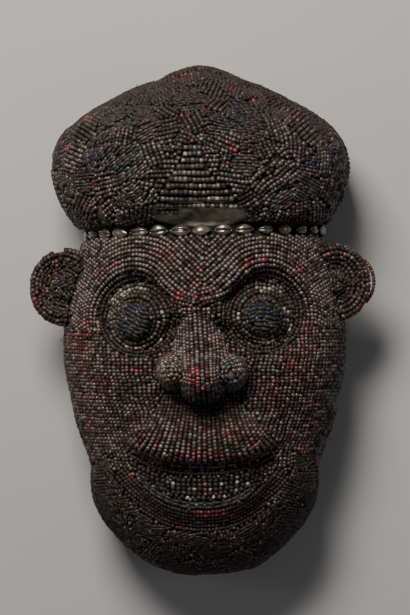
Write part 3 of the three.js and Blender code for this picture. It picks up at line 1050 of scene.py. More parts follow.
def square_net(dome: Dome, columns: int, rows: int, depths: Array, **inset: float) -> tuple:
    """A closed dome whose front is a square net pulled out to its outline, over rings of wall.

    A place u, v in the square goes to u times the root of 1 less half v squared, and v likewise.

    Args:
        dome: The form.
        columns: Meshes from side to side.
        rows: Meshes from the chin to the cap.
        depths: The depths of the wall's rings behind the widest line.
        inset: How far a hollow is drawn in.

    Returns:
        The points and the tables of faces.
    """
    v, u = np.meshgrid(np.linspace(-1, 1, rows + 1), np.linspace(-1, 1, columns + 1), indexing="ij")
    across, up = u * np.sqrt(1 - v * v / 2), v * np.sqrt(1 - u * u / 2)
    out = np.minimum(1, np.hypot(across, up))
    angle = np.arctan2(up * dome.stretch, across)
    front = dome.shell(angle, out * (1.2 - 0.2 * out * out), np.zeros_like(out), **inset)
    number = np.arange((rows + 1) * (columns + 1)).reshape(rows + 1, columns + 1)
    edge = np.concatenate([number[0, :-1], number[:-1, -1], number[-1, :0:-1], number[:0:-1, 0]])
    count = len(edge)
    walls = dome.shell(angle.ravel()[edge][None], np.ones((1, 1)), depths[:, None], **inset)
    walls = np.broadcast_to(walls, (len(depths), count, 3))
    points = np.concatenate([front.reshape(-1, 3), walls.reshape(-1, 3), walls[-1].mean(0)[None]])
    here, after = np.arange(count), np.roll(np.arange(count), -1)
    first = number.size
    last = first + (len(depths) - 1) * count
    top = np.stack([edge[after], edge, first + here, first + after], axis=1)
    wall = lattice(len(depths), count, True, first)[:, ::-1]
    bottom = np.stack([np.full(count, len(points) - 1), last + after, last + here], axis=1)
    return points, [lattice(rows + 1, columns + 1, False), top, wall, bottom]


# Sewing


class Glass(IntEnum):
    """The beads' colours, in the order of the materials on each bead piece."""

    DARK = 0
    BROWN = 1
    RED = 2
    NAVY = 3
    PALE = 4
    GREY = 5
    SLATE = 6


class Region(Enum):
    """The parts of the mask that are sewn in one way, with the piece that holds their beads."""

    EYES = "beads_eyes"
    SOCKETS = "beads_sockets"
    BROWS = "beads_brow_and_forehead"
    NOSE = "beads_nose"
    MOUTH = "beads_mouth"
    MUZZLE = "beads_upper_lip"
    CHIN = "beads_chin"
    CHEEKS = "beads_cheek"
    BEARD = "beads_beard"
    EARS = "beads_ear"
    PYRAMID = "beads_cap_pyramid"
    CAP = "beads_cap"


@dataclass(frozen=True)
class Bead:
    """One kind of bead and how closely it is strung."""

    width: float = 4.2
    length: float = 3.5
    pitch: float = 3.6
    row: float = 4.3
    ends: float = 0.8

    @property
    def long(self) -> bool:
        """Whether this is a long bead, which is never red."""
        return self.length > 5


SMALL = Bead(3.8, 3.3, 3.35, 3.85)
OBLATE = Bead(4.35, 3.35, 3.4, 4.4)
BALL = Bead(3.75, 7.4, 7.3, 3.8, 0.96)
LONG = Bead(3.2, 7.7, 7.8, 3.3, 0.9)
LARGE = Bead(5.4, 4.1, 4.2, 5.67, 0.84)
RING = Bead(4.5, 4.0, 4.15, 4.7)
FILLER = Bead(3.3, 3.0, 3.3, 3.3)


def strung(line: Array, bead: Bead, valid: Array | None = None, start: float = 0.5) -> tuple[Array, Array]:
    """Places for beads at even steps of arc length along a thread.

    Args:
        line: The thread's points.
        bead: The kind of bead.
        valid: Which of the points the thread really has.
        start: The first bead's place, in steps.

    Returns:
        The beads' places, and the thread's direction at each.
    """
    reach = lengths_along(line)
    wanted = (np.arange(int(reach[-1] / bead.pitch) + 1) + start) * bead.pitch
    wanted = wanted[wanted < reach[-1]]
    points = points_at(wanted, reach, line)
    along = unit(points_at(wanted + 0.5, reach, line) - points_at(wanted - 0.5, reach, line))
    if valid is not None:
        keep = np.interp(wanted, reach, valid.astype(float)) > 0.99
        points, along = points[keep], along[keep]
    return points, along


def grid(half: float, bead: Bead) -> list[Array]:
    """Places in a square, in the beads' pitches along the rows and in rows across them."""
    return np.meshgrid(np.arange(-half, half, bead.pitch), np.arange(-half, half, bead.row), indexing="ij")


def rows_over(
    net: Array, bead: Bead, measure: Array | None = None, start: float = 0.5, middle: bool = False
) -> tuple[Array, Array]:
    """Beads in rows along a net's first direction, at even distances across it.

    The distance across is the sum, along each line of the net's second direction, of the part of
    each step that is square to the rows.

    Args:
        net: Points, with the rows' direction first.
        bead: The kind of bead.
        measure: The net that the distances are measured on, where it is another one.
        start: The first row's place, in rows.
        middle: Whether the beads are counted from the middle of each row, so that they line up.

    Returns:
        The beads' places, and the rows' direction at each.
    """
    base = net if measure is None else measure
    step = np.diff(base, axis=1)
    along = unit(np.gradient(base, axis=0))[:, :-1]
    across = step - (step * along).sum(-1, keepdims=True) * along
    reach = np.concatenate([np.zeros((len(net), 1)), np.linalg.norm(across, axis=-1).cumsum(1)], axis=1)
    lines = np.arange(len(net))
    found = []
    for level in (np.arange(int(reach.max() / bead.row) + 1) + start) * bead.row:
        index = (reach < level).sum(axis=1)
        valid = index < reach.shape[1]
        if valid.sum() < 2:
            continue
        i = np.clip(index, 1, reach.shape[1] - 1)
        low, high = reach[lines, i - 1], reach[lines, i]
        t = ((level - low) / np.maximum(high - low, 1e-6))[:, None]
        line = net[lines, i - 1] * (1 - t) + net[lines, i] * t
        shift = 0.5
        if middle:
            half = np.linalg.norm(np.diff(line[: len(line) // 2 + 1], axis=0), axis=1).sum()
            shift = (half / bead.pitch) % 1
        found.append(strung(line, bead, valid, shift))
    return tuple(np.concatenate(part) for part in zip(*found))


@dataclass
class Tint:
    """A soft field of one colour: a bell of chances round a place, over some regions or all."""

    glass: Glass
    regions: tuple[Region, ...]
    x: float
    y: float
    across: float
    up: float
    chance: float

    def chances(self, points: Array, region: Region) -> Array:
        """The chance of this colour at each point of a region.

        Args:
            points: The points.
            region: Their region.

        Returns:
            A chance for each.
        """
        if self.regions and region not in self.regions:
            return np.zeros(len(points))
        away = np.hypot((points[:, 0] - self.x) / self.across, (points[:, 1] - self.y) / self.up)
        return self.chance * bell(away**1.5)


def painted_shade(points: Array) -> Array:
    """How much lightness painted shade leaves the beads: less towards the cap's top and under the nose's tip.
    """
    top = ramp(135, 215, points[:, 1])
    under_nose = bell(np.hypot((points[:, 0] - 2) / 34, (points[:, 1] + 78) / 13))
    return 1 - 0.72 * top - 0.85 * under_nose * (1 - top)


@dataclass
class Sewing:
    """All the beads as they are sewn, batch by batch."""

    random: Chance
    batches: list[dict[str, Array]] = field(default_factory=list)
    pale_width: float = 0.86
    pale_in_eyes: float = 0.62
    least_red: float = 0.8
    even_length: float = 4.5
    cell: float = 7.0
    cells: dict[tuple[int, int, int], list] = field(default_factory=dict)

    def sew(
        self, region: Region, points: Array, along: Array, out: Array, bead: Bead,
        glass: Array | Glass | None = None, closeness: float = 0.8, rough: float = 0.18, shade: float = 1.0,
    ) -> None:
        """Sews beads on, but for those in a tear and those too close to one already there.

        A bead's tone is a random share to a power, times its region's lightness, which is partly
        its own tone and partly painted light and shade, and times the painted shade at the cap's top and
        under the nose. Long beads differ less, and red ones stay bright.

        Args:
            region: Where they belong.
            points: Their places.
            along: The thread's direction at each.
            out: The direction out of the surface at each.
            bead: Their kind.
            glass: Their colours, where the tints don't choose them.
            closeness: The least distance, as a share of the pitch along and across the rows.
            rough: How far the beads stray from their places.
            shade: A factor on their lightness.
        """
        if len(points) == 0:
            return
        x, y = points[:, :1] - TEARS[:, 0], points[:, 1:2] - TEARS[:, 1]
        torn = (np.hypot(x / TEARS[:, 2], y / TEARS[:, 3]) < 1).any(axis=1)
        keep = self.free(points, along, bead, closeness) & ~torn
        random, shape = self.random, (int(keep.sum()), 3)
        place = points[keep] + np.clip(random.normal(0, rough, shape), -2 * rough, 2 * rough)
        way = unit(along[keep] + random.normal(0, 0.4 * rough + 0.03, shape))
        spread = np.clip(random.normal(1, (0.08, 0.06, 0.02), shape), 0.8, 1.12)
        if glass is None:
            glass = self.tinted(points, region)
            if bead.long:
                glass = np.where(glass == Glass.RED, Glass.BROWN, glass)
        colours = np.broadcast_to(np.asarray(glass, dtype=int), len(points))[keep]
        small = np.where(colours == Glass.PALE, self.pale_width, 1.0)[:, None] ** (1, 1, 0)
        chance = random.random(len(place))
        if bead.length > self.even_length:
            chance = 0.3 + 0.4 * chance
        # Painted light and shade: the region's lightness and the painted shade at the cap's top and under the
        # nose scale the tone.
        light = TONE_AND_PAINTED_LIGHT[region] * shade * painted_shade(points[keep])
        light = np.where(colours == Glass.RED, np.maximum(light, self.least_red), light)
        dull = np.clip(chance**1.3 * light, 0, 1)
        pale = (0.1 + 0.85 * chance**1.4) * (self.pale_in_eyes if region is Region.EYES else 1.0)
        self.batches.append({
            "region": np.full(len(place), region.value),
            "points": place,
            "along": way,
            "out": out[keep],
            "size": np.array([[bead.width, bead.length, bead.ends]]) * spread * small,
            "glass": colours,
            "tone": np.where(colours == Glass.PALE, pale, dull),
        })

    def free(self, points: Array, along: Array, bead: Bead, closeness: float) -> Array:
        """Which beads have room, tested in order against those before them, and notes those.

        The distance is taken in pitches along the thread and in rows across it.

        Args:
            points: The beads' places.
            along: The thread's directions.
            bead: Their kind.
            closeness: The least distance as a share of the pitch.

        Returns:
            True for each bead that has room.
        """
        kept = np.zeros(len(points), dtype=bool)
        steps = [(i, j, k) for i in (-1, 0, 1) for j in (-1, 0, 1) for k in (-1, 0, 1)]
        cells = np.floor(points / self.cell).astype(int).tolist()
        forward, across = (closeness * bead.pitch) ** 2, (closeness * bead.row) ** 2
        for number, (place, way, (i, j, k)) in enumerate(zip(points.tolist(), along.tolist(), cells)):
            x, y, z = place
            near = (self.cells.get((i + a, j + b, k + c), ()) for a, b, c in steps)
            for u, v, w in (other for cell in near for other in cell):
                u, v, w = u - x, v - y, w - z
                ahead = (u * way[0] + v * way[1] + w * way[2]) ** 2
                if ahead / forward + (u * u + v * v + w * w - ahead) / across < 1:
                    break
            else:
                kept[number] = True
                self.cells.setdefault((i, j, k), []).append(place)
        return kept

    def tinted(self, points: Array, region: Region) -> Array:
        """Colours for a region's beads, drawn from the tints' chances one after another.

        Args:
            points: The beads' places.
            region: Where they belong.

        Returns:
            A colour for each.
        """
        draw = self.random.random(len(points))
        glass = np.full(len(points), int(Glass.DARK))
        total = np.zeros(len(points))
        for tint in TINTS:
            chances = tint.chances(points, region)
            glass[(draw >= total) & (draw < total + chances)] = tint.glass
            total = total + chances
        return glass


# The bead layouts


@dataclass(frozen=True)
class BeadWork:
    """One way of sewing beads onto a part of the mask."""

    sewing: Sewing

    def cover(
        self, region: Region, points: Array, along: Array, bead: Bead, keep: Array | slice = slice(None),
        **ways: object,
    ) -> None:
        """Sews beads onto the head.

        Args:
            region: Where they belong.
            points: Their places.
            along: The thread's direction at each.
            bead: Their kind.
            keep: Which of them are sewn.
            ways: What else the sewing is told.
        """
        points, along = points[keep], along[keep]
        self.sewing.sew(region, points, along, HEAD.normal(points), bead, **ways)


@dataclass(frozen=True)
class EyeWork(BeadWork):
    """An eye: long parallel rows over the ball, rings of larger beads, and rings to the brow that painted
    shade darkens.
    """

    eye: Eye
    ball_turn: float
    ball: float
    bow: float
    ring_reach: float = 31.0
    socket_reach: float = 37.0
    under_brow: float = 8.0
    navy_share: float = 0.8
    navy_bands: Rows = ((-10, 9), (11, 7))

    def sew(self) -> None:
        """Sews the ball, and then the rings, whose middle moves from the ball's to the eye's."""
        eye, ball = self.eye, self.ball
        turn = math.radians(self.ball_turn)
        u, v = np.meshgrid(np.linspace(-ball, ball, 60), np.linspace(-ball, ball, 60), indexing="ij")
        bowed = v - self.bow * u * u
        x = eye.ball_x + u * math.cos(turn) - bowed * math.sin(turn)
        y = eye.ball_y + u * math.sin(turn) + bowed * math.cos(turn)
        points, along = rows_over(HEAD.front(x, y), BALL, start=0.4)
        inside = np.hypot(points[:, 0] - eye.ball_x, points[:, 1] - eye.ball_y) < ball
        points, along = points[inside], along[inside]
        aside = points[:, 0] - eye.ball_x
        navy = self.navy_share * sum(bell((aside - middle) / half) for middle, half in self.navy_bands)
        glass = np.where(self.sewing.random.random(len(points)) < navy, Glass.NAVY, Glass.SLATE)
        self.cover(Region.EYES, points, along, BALL, glass=glass, rough=0.04)
        self.sew_rings(Region.EYES, RING, ball + 1, self.ring_reach)
        self.sew_rings(Region.SOCKETS, SMALL, self.ring_reach, self.socket_reach)

    def sew_rings(self, region: Region, bead: Bead, low: float, high: float) -> None:
        """Sews rings about the eye, up to the brow.

        Args:
            region: Where they belong.
            bead: Their kind of bead.
            low: The first ring's radius.
            high: The last ring's radius.
        """
        eye = self.eye
        angle = np.linspace(0, 2 * math.pi, 181)[:, None]
        away = np.linspace(low, high, 60)[None]
        drift = ramp(self.ball, self.ring_reach, away)
        x = eye.ball_x + (eye.x - eye.ball_x) * drift + away * np.cos(angle)
        y = eye.ball_y + (eye.y - eye.ball_y) * drift + away * np.sin(angle)
        points, along = rows_over(HEAD.front(x, y), bead, start=0.45)
        clear = eye.past_crest(points[:, 0], points[:, 1])[0] < -self.under_brow
        self.cover(region, points, along, bead, clear, rough=0.28)


@dataclass(frozen=True)
class BrowWork(BeadWork):
    """Rows that arch over one eye and repeat up the forehead to the shells."""

    eye: Eye
    foot: tuple[float, float] = (-3.5, 11.6)
    head: tuple[float, float] = (6.5, 75.0)
    first: float = -12.5
    last: float = 118.0
    lowest: float = -12.0
    relief_share: float = 0.35
    edge_share: float = 0.985
    parting: float = 1.2
    bead: Bead = Bead(4.2, 3.6, 3.65, 4.35)

    def middle(self, y: Array) -> Array:
        """The line where the two brows' rows meet, straight from its foot to its head."""
        share = (y - self.foot[1]) / (self.head[1] - self.foot[1])
        return self.foot[0] + (self.head[0] - self.foot[0]) * share

    def sew(self) -> None:
        """Sews the arches outwards from the brow's underside, cut where the two brows meet.

        The distances between rows are measured on a form that keeps only a share of the relief.
        """
        eye = self.eye
        turn = np.linspace(-25, 200, 320)[:, None]
        away = through(np.array(eye.crest), turn) + np.linspace(self.first, self.last, 200)[None]
        x = eye.x + eye.side * away * np.cos(np.radians(turn))
        y = eye.y + away * np.sin(np.radians(turn))
        net = HEAD.front(x, y)
        smooth = HEAD.front(x, y, carved=False)
        smooth[..., 2] = np.where(HEAD.polar(x, y)[1] < 1, smooth[..., 2], HEAD.widest)
        measure = self.relief_share * net + (1 - self.relief_share) * smooth
        points, along = rows_over(net, self.bead, measure, start=0.2, middle=True)
        x, y = points[:, 0], points[:, 1]
        keep = ((x - self.middle(y)) * eye.side > self.parting) & (y - eye.y > self.lowest)
        keep &= HEAD.polar(x, y)[1] < self.edge_share
        keep &= y < CREASE.y + CREASE.tilt * x - 0.7 * CREASE.half_height
        self.cover(Region.BROWS, points, along, self.bead, keep)


@dataclass(frozen=True)
class NoseWork(BeadWork):
    """Threads that run down the bridge and over the tip, and rings on the wings."""

    nose: Nose = HEAD.nose
    edge: float = 1.8
    wing_bead: Bead = Bead(3.6, 4.6, 4.7, 3.8)

    def sew(self) -> None:
        """Sews the wings' rings and then the threads from the middle outwards."""
        nose = self.nose
        angle = np.linspace(0, 2 * math.pi, 121)[:, None]
        away = np.linspace(0.05, 1.0, 60)[None]
        for side in (-1, 1):
            middle = nose.tip_x + side * (nose.wing_offset + 2.5)
            x = middle + 0.9 * nose.wing_half_width * away * np.cos(angle)
            y = nose.wing_y + 0.95 * nose.wing_half_height * away * np.sin(angle)
            points, along = rows_over(HEAD.front(x, y), self.wing_bead)
            outer = (points[:, 0] - nose.tip_x) * side > nose.wing_offset - 7
            self.cover(Region.NOSE, points, along, self.wing_bead, outer)
        down = np.linspace(nose.root_y + 1, nose.tip_y - nose.tip_half_height - 1, 200)[:, None]
        for side in (-1, 1):
            out = side * np.linspace(0, nose.base_half_width + 7, 140)[None]
            points, along = rows_over(HEAD.front(nose.middle(down) + out, down), OBLATE)
            tall = nose.relief(points[:, 0], points[:, 1]) > self.edge
            self.cover(Region.NOSE, points, along, OBLATE, tall)


WHITE_TEETH = np.array([
    (-44, -152), (-41, -155), (-36, -159), (-31, -160), (-30, -149), (-25, -150), (-14, -163), (-12, -152),
    (-8, -152), (10, -143), (10, -152), (11, -161), (18, -149), (21, -158), (31, -132), (31, -143),
    (31, -148), (33, -155), (40, -148),
])


@dataclass(frozen=True)
class MouthWork(BeadWork):
    """The grin: rows along the upper lip, upright threads of teeth, and two arcs of long beads."""

    mouth: Mouth = HEAD.mouth
    lip_rows: float = 3.0
    dark_rows: int = 2
    dark_top: float = 4.5
    dark_step: float = 3.9
    arc_rows: int = 2
    arc_top: float = 1.5
    arc_half_width: float = 51.0
    tooth_threads: Bead = Bead(4.3, 3.9, 4.1, 4.9)

    def sew(self) -> None:
        """Sews the lips' edges and two dark rows under the lip, and then the teeth between them."""
        mouth = self.mouth
        x = np.linspace(-mouth.half_width, mouth.half_width, 220)
        over = np.linspace(-3.5, self.lip_rows, 90)[None]
        lip = HEAD.front(x[:, None], mouth.upper_edge(x[:, None]) + over)
        self.cover(Region.MUZZLE, *rows_over(lip, SMALL, start=0.3, middle=True), SMALL)
        arc_x = np.linspace(-self.arc_half_width, self.arc_half_width, 160) - 2
        for row in range(self.arc_rows):
            line = HEAD.front(arc_x, mouth.lower_edge(arc_x) - self.arc_top - LONG.row * row)
            points, along = strung(line, LONG)
            points[:, 2] += 0.8
            self.cover(Region.MOUTH, points, along, LONG, glass=Glass.SLATE)
        for row in range(self.dark_rows):
            line = HEAD.front(x, mouth.upper_edge(x) - self.dark_top - self.dark_step * row)
            points, along = strung(line, SMALL)
            above = points[:, 1] > mouth.lower_edge(points[:, 0]) + 3
            self.cover(Region.MOUTH, points, along, SMALL, above)
        self.sew_teeth()

    def sew_teeth(self) -> None:
        """Sews upright threads, where each white bead is the one nearest to its place in the list."""
        mouth = self.mouth
        down = np.linspace(1, 0, 80)[:, None]
        across = np.linspace(-mouth.half_width + 4, mouth.half_width - 4, 200)[None]
        low, high = mouth.lower_edge(across) + 1.5, mouth.upper_edge(across) - 9
        net = HEAD.front(across + 0 * down, low + (np.maximum(high, low + 0.1) - low) * down)
        points, along = rows_over(net, self.tooth_threads)
        apart = np.hypot(points[:, :1] - WHITE_TEETH[:, 0], points[:, 1:2] - WHITE_TEETH[:, 1])
        white = np.isin(np.arange(len(points)), apart.argmin(axis=0))
        glass = np.where(white, Glass.PALE, self.sewing.tinted(points, Region.MOUTH))
        self.cover(Region.MOUTH, points, along, RING, glass=glass, rough=0.3)


@dataclass(frozen=True)
class MuzzleWork(BeadWork):
    """Threads that fan out from under the nose over the upper lip."""

    mouth: Mouth = HEAD.mouth
    middle: float = 1.5
    top: float = -66.0
    top_half_width: float = 42.0

    def sew(self) -> None:
        """Sews the fan from the middle outwards."""
        mouth = self.mouth
        down = np.linspace(0, 1, 120)[:, None]
        for side in (-1, 1):
            out = side * np.linspace(0, 1, 140)[None]
            spread = mouth.half_width + 1 - self.top_half_width
            x = self.middle + out * (self.top_half_width + spread * down**1.4)
            bottom = mouth.upper_edge(x) + 2.5
            net = HEAD.front(x, self.top + (bottom - self.top) * down)
            even = np.broadcast_to(net[70][None], net.shape)
            self.cover(Region.MUZZLE, *rows_over(net, OBLATE, even), OBLATE, closeness=0.74)


@dataclass(frozen=True)
class ChinWork(BeadWork):
    """Arcs that repeat the lower lip downwards to the beard."""

    mouth: Mouth = HEAD.mouth
    depth: float = 62.0

    def sew(self) -> None:
        """Sews rows at even distances outside the mouth's lower edge."""
        mouth = self.mouth
        x = np.linspace(-mouth.half_width - 3, mouth.half_width + 3, 260)
        y = mouth.lower_edge(x) - LONG.row * 2 - 0.5
        slope = np.gradient(y, x)
        length = np.hypot(1, slope)[:, None]
        away = np.linspace(0, self.depth, 130)[None]
        net = HEAD.front(x[:, None] + slope[:, None] / length * away, y[:, None] - away / length)
        points, along = rows_over(net, OBLATE, middle=True)
        angle, share = HEAD.polar(points[:, 0], points[:, 1])
        keep = (HEAD.beard_share(angle, share) < 0.35) & (share < 0.95)
        keep &= points[:, 1] < mouth.upper_edge(points[:, 0]) - 12
        self.cover(Region.CHIN, points, along, OBLATE, keep)


@dataclass(frozen=True)
class CheekWork(BeadWork):
    """Upright threads over one side of the head, parallel to its widest line, down to the rim."""

    side: int
    top: float = 77.0
    bottom: float = -205.0

    def sew(self) -> None:
        """Sews from the widest line inwards over the face, and then outwards down the wall.

        The threads wander by two waves of the level and the reach, which fade at the widest line. The
        distances between them are measured on the plain head.
        """
        level = np.linspace(self.top, self.bottom, 300)[:, None]
        inward = self.side * np.linspace(1, 0.0, 200)[None]
        loose = 0.011 * np.sin(0.075 * level + 5 * inward) + 0.007 * np.sin(0.17 * level - 9 * inward)
        inward = inward + loose * np.sin(math.pi * np.abs(inward))
        outward = self.side * np.linspace(1, 2, 60)[None]
        for reach, carved in ((inward, False), (outward, True)):
            measure = HEAD.section(level, reach, carved)
            points, along = rows_over(HEAD.section(level, reach), OBLATE, measure, middle=True)
            keep = (HEAD.bearded(points) <= 0.5) & (CAP.level(points) > CLEARANCE) & uncovered(points)
            self.cover(Region.CHEEKS, points, along, OBLATE, keep, rough=0.27)


class Work(Enum):
    """How a patch is sewn: fine tight lines, thick cords or loose rows."""

    FINE = Bead(3.05, 7.0, 6.9, 3.05, 0.95)
    CORD = Bead(4.2, 3.75, 3.7, 4.4, 0.86)
    LOOSE = Bead(4.0, 3.4, 3.5, 4.05)


@dataclass(frozen=True)
class Patch:
    """One patch of parallel rows: its middle, the rows' turn in degrees and how it is sewn."""

    x: float
    y: float
    turn: float
    work: Work = Work.CORD
    bend: float = 0.0


@dataclass(frozen=True)
class Patchwork(BeadWork):
    """Short parallel rows in patches, each with its own direction, sewn over a dome."""

    dome: Dome
    region: Region
    known: list[Patch]
    allowed: Rule
    size: float = 21.0
    clear: float = 17.0
    overlap: float = 2.6
    only: Work | None = None

    def frames(self) -> tuple[Array, Array, list[Work], Array]:
        """The middles of all patches, their rows' directions, how each is sewn and its bend.

        The known patches come first. Others fill the rest of the dome: a sunflower spiral in front
        and staggered rings on the wall, with directions by chance.

        Returns:
            The middles, the directions, the kinds and the bends.
        """
        dome, random = self.dome, self.sewing.random
        known = np.array([(patch.x, patch.y) for patch in self.known], dtype=float)
        seeds = dome.front(known[:, 0], known[:, 1])
        out = dome.normal(seeds)
        turn = np.radians([patch.turn for patch in self.known])
        rise = -(out[:, 0] * np.cos(turn) + out[:, 1] * np.sin(turn)) / np.maximum(out[:, 2], 0.2)
        first = unit(np.stack([np.cos(turn), np.sin(turn), rise], axis=1))
        more = self.fill()
        apart = np.linalg.norm(more[:, None] - seeds[None], axis=-1).min(axis=1)
        more = more[apart > self.clear]
        second = unit(np.cross(dome.normal(more), unit(random.normal(0, 1, more.shape))))
        kinds = random.choice(np.array([0, 1, 1, 2]), len(more))
        works = [patch.work for patch in self.known] + [self.only or list(Work)[kind] for kind in kinds]
        bends = np.concatenate([[patch.bend for patch in self.known], random.normal(0, 0.012, len(more))])
        return np.concatenate([seeds, more]), np.concatenate([first, second]), works, bends

    def fill(self) -> Array:
        """Even but irregular middles of patches over the front and the wall.

        Returns:
            The middles.
        """
        dome, random = self.dome, self.sewing.random
        area = math.pi * dome.radius(np.linspace(-1.5, 1.5, 9)).mean() ** 2 * 1.35
        count = int(area / self.size**2)
        i = np.arange(count) + 0.5
        angle = i * math.pi * (3 - math.sqrt(5)) + random.normal(0, 0.04, count)
        share = np.clip(np.sqrt(i / count) * 0.99 + random.normal(0, 0.015, count), 0, 1)
        found = [dome.shell(angle, share**0.9, np.zeros(count))]
        around = int(2 * math.pi * dome.radius(np.zeros(1))[0] / self.size)
        for ring, behind in enumerate(np.arange(self.size * 0.5, dome.widest, self.size * 0.8)):
            turn = (np.arange(around) + 0.5 * ring + random.normal(0, 0.15, around)) / around
            found.append(dome.shell(turn * 2 * math.pi, np.ones(around), np.full(around, behind)))
        return np.concatenate(found)

    def sew(self) -> None:
        """Sews each patch as slightly bent rows in the plane at its middle, put onto the dome."""
        seeds, firsts, works, bends = self.frames()
        for number, work in enumerate(works):
            bead = work.value
            places, tangent = self.rows(seeds[number], firsts[number], bead, bends[number])
            points = self.dome.project(places)
            on_dome = np.abs(self.dome.level(points)) < 1
            keep = (points[:, 2] > RIM_CLEARANCE) & on_dome & self.allowed(points)
            points, tangent = points[keep], tangent[keep]
            apart = np.linalg.norm(points[:, None] - seeds[None], axis=-1)
            mine = apart[:, number] < apart.min(axis=1, initial=1e3) + self.overlap
            if not mine.any():
                continue
            points, tangent = points[mine], tangent[mine]
            normal = self.dome.normal(points)
            tangent = unit(tangent - (tangent * normal).sum(-1, keepdims=True) * normal)
            points = points + {Work.FINE: -0.4, Work.CORD: 0.4, Work.LOOSE: 0.0}[work] * normal
            off_floor = points[:, 2] > 0.66 * bead.width + 0.52 * bead.length * np.abs(tangent[:, 2])
            points, tangent, normal = points[off_floor], tangent[off_floor], normal[off_floor]
            rough = 0.3 if work is Work.LOOSE else 0.12
            shade = 0.72 + 0.56 * (0.618 * number % 1)
            self.sewing.sew(self.region, points, tangent, normal, bead, rough=rough, shade=shade)

    def rows(self, seed: Array, first: Array, bead: Bead, bend: float) -> tuple[Array, Array]:
        """A patch's beads in the plane at its middle: rows bent as parabolas.

        Args:
            seed: The middle.
            first: The rows' direction there.
            bead: The kind of bead.
            bend: How strongly the rows bend.

        Returns:
            The places and the directions along the rows.
        """
        second = np.cross(self.dome.normal(seed[None])[0], first)
        half = self.size * 1.35
        a, b = grid(half, bead)
        a = a + self.sewing.random.uniform(0, bead.pitch, b.shape[1])
        b = b + bend * a * a
        places = seed + a[..., None] * first + b[..., None] * second
        tangent = unit(first + (2 * bend * a)[..., None] * second)
        return places.reshape(-1, 3), tangent.reshape(-1, 3)


@dataclass(frozen=True)
class PyramidWork(BeadWork):
    """A stepped triangle of larger grey beads on the cap, over a bare patch of cloth."""

    top: float = 157.5
    step: float = 5.67
    spans: Rows = (
        (-15, 0), (-15, 2), (-17, 3), (-21, 5), (-24, 10), (-28, 14), (-31, 24), (-36, 28), (-36, 31),
        (-41, 33),
    )
    last_span: tuple[float, float] = (-41, -22)
    bare_reach: tuple[float, float] = (-43, 41)

    def sew(self) -> None:
        """Sews each step as one straight row."""
        for row, (low, high) in enumerate([*self.spans, self.last_span]):
            line = CAP.front(np.linspace(low, high, 60), np.full(60, self.top - row * self.step))
            points, along = strung(line, LARGE)
            points = points + 0.6 * CAP.normal(points)
            self.sewing.sew(Region.PYRAMID, points, along, CAP.normal(points), LARGE)

    def allows(self, points: Array) -> Array:
        """Which points lie clear of the triangle's gaps and of the bare patch under it.

        Args:
            points: The points.

        Returns:
            True for each clear point.
        """
        x, y = points[:, 0], points[:, 1]
        row = (self.top - y) / self.step
        low, high = points_at(row, np.arange(len(self.spans)), np.array(self.spans)).T
        in_triangle = (row > -0.7) & (row < len(self.spans) - 0.3) & (x > low - 2) & (x < high + 2)
        ragged = 2.0 * np.sin(x * 0.4) + 1.5 * np.sin(x * 0.23 + y)
        low_down = y + 0.5 * ragged < self.top - (len(self.spans) - 0.5) * self.step
        bare = low_down & (x + ragged > self.bare_reach[0]) & (x + ragged < self.bare_reach[1])
        return ~((in_triangle | bare) & (points[:, 2] > 120))


FURROWS = np.array([
    (-90, 176, -63, 190), (-61, 176, -43, 184), (-102, 158, -87, 166), (-64, 166, -53, 164),
    (-78, 157, -75, 151), (-40, 129, -52, 111), (34, 201, 50, 205), (22, 187, 36, 179), (58, 140, 68, 152),
    (70, 150, 86, 147), (50, 128, 60, 134), (103, 120, 115, 108), (36, 160, 46, 166), (-20, 196, 2, 199),
    (88, 172, 100, 160), (-96, 110, -90, 96),
], dtype=float)


def off_furrows(points: Array, reach: float = 1.35) -> Array:
    """Which points lie off the cap's furrows, straight gaps between patches where cloth shows.

    The distance is taken to the nearest place of each furrow in the picture's plane.

    Args:
        points: The points.
        reach: Half a furrow's width.

    Returns:
        True for each point that may be sewn.
    """
    start, way = FURROWS[:, :2], FURROWS[:, 2:] - FURROWS[:, :2]
    away = points[:, None, :2] - start
    share = np.clip((away * way).sum(-1) / (way**2).sum(-1), 0, 1)[..., None]
    near = np.linalg.norm(away - share * way, axis=-1).min(axis=1)
    return (near > reach * (1 + 0.3 * np.sin(points[:, 0] + points[:, 1]))) | (points[:, 2] < 110)


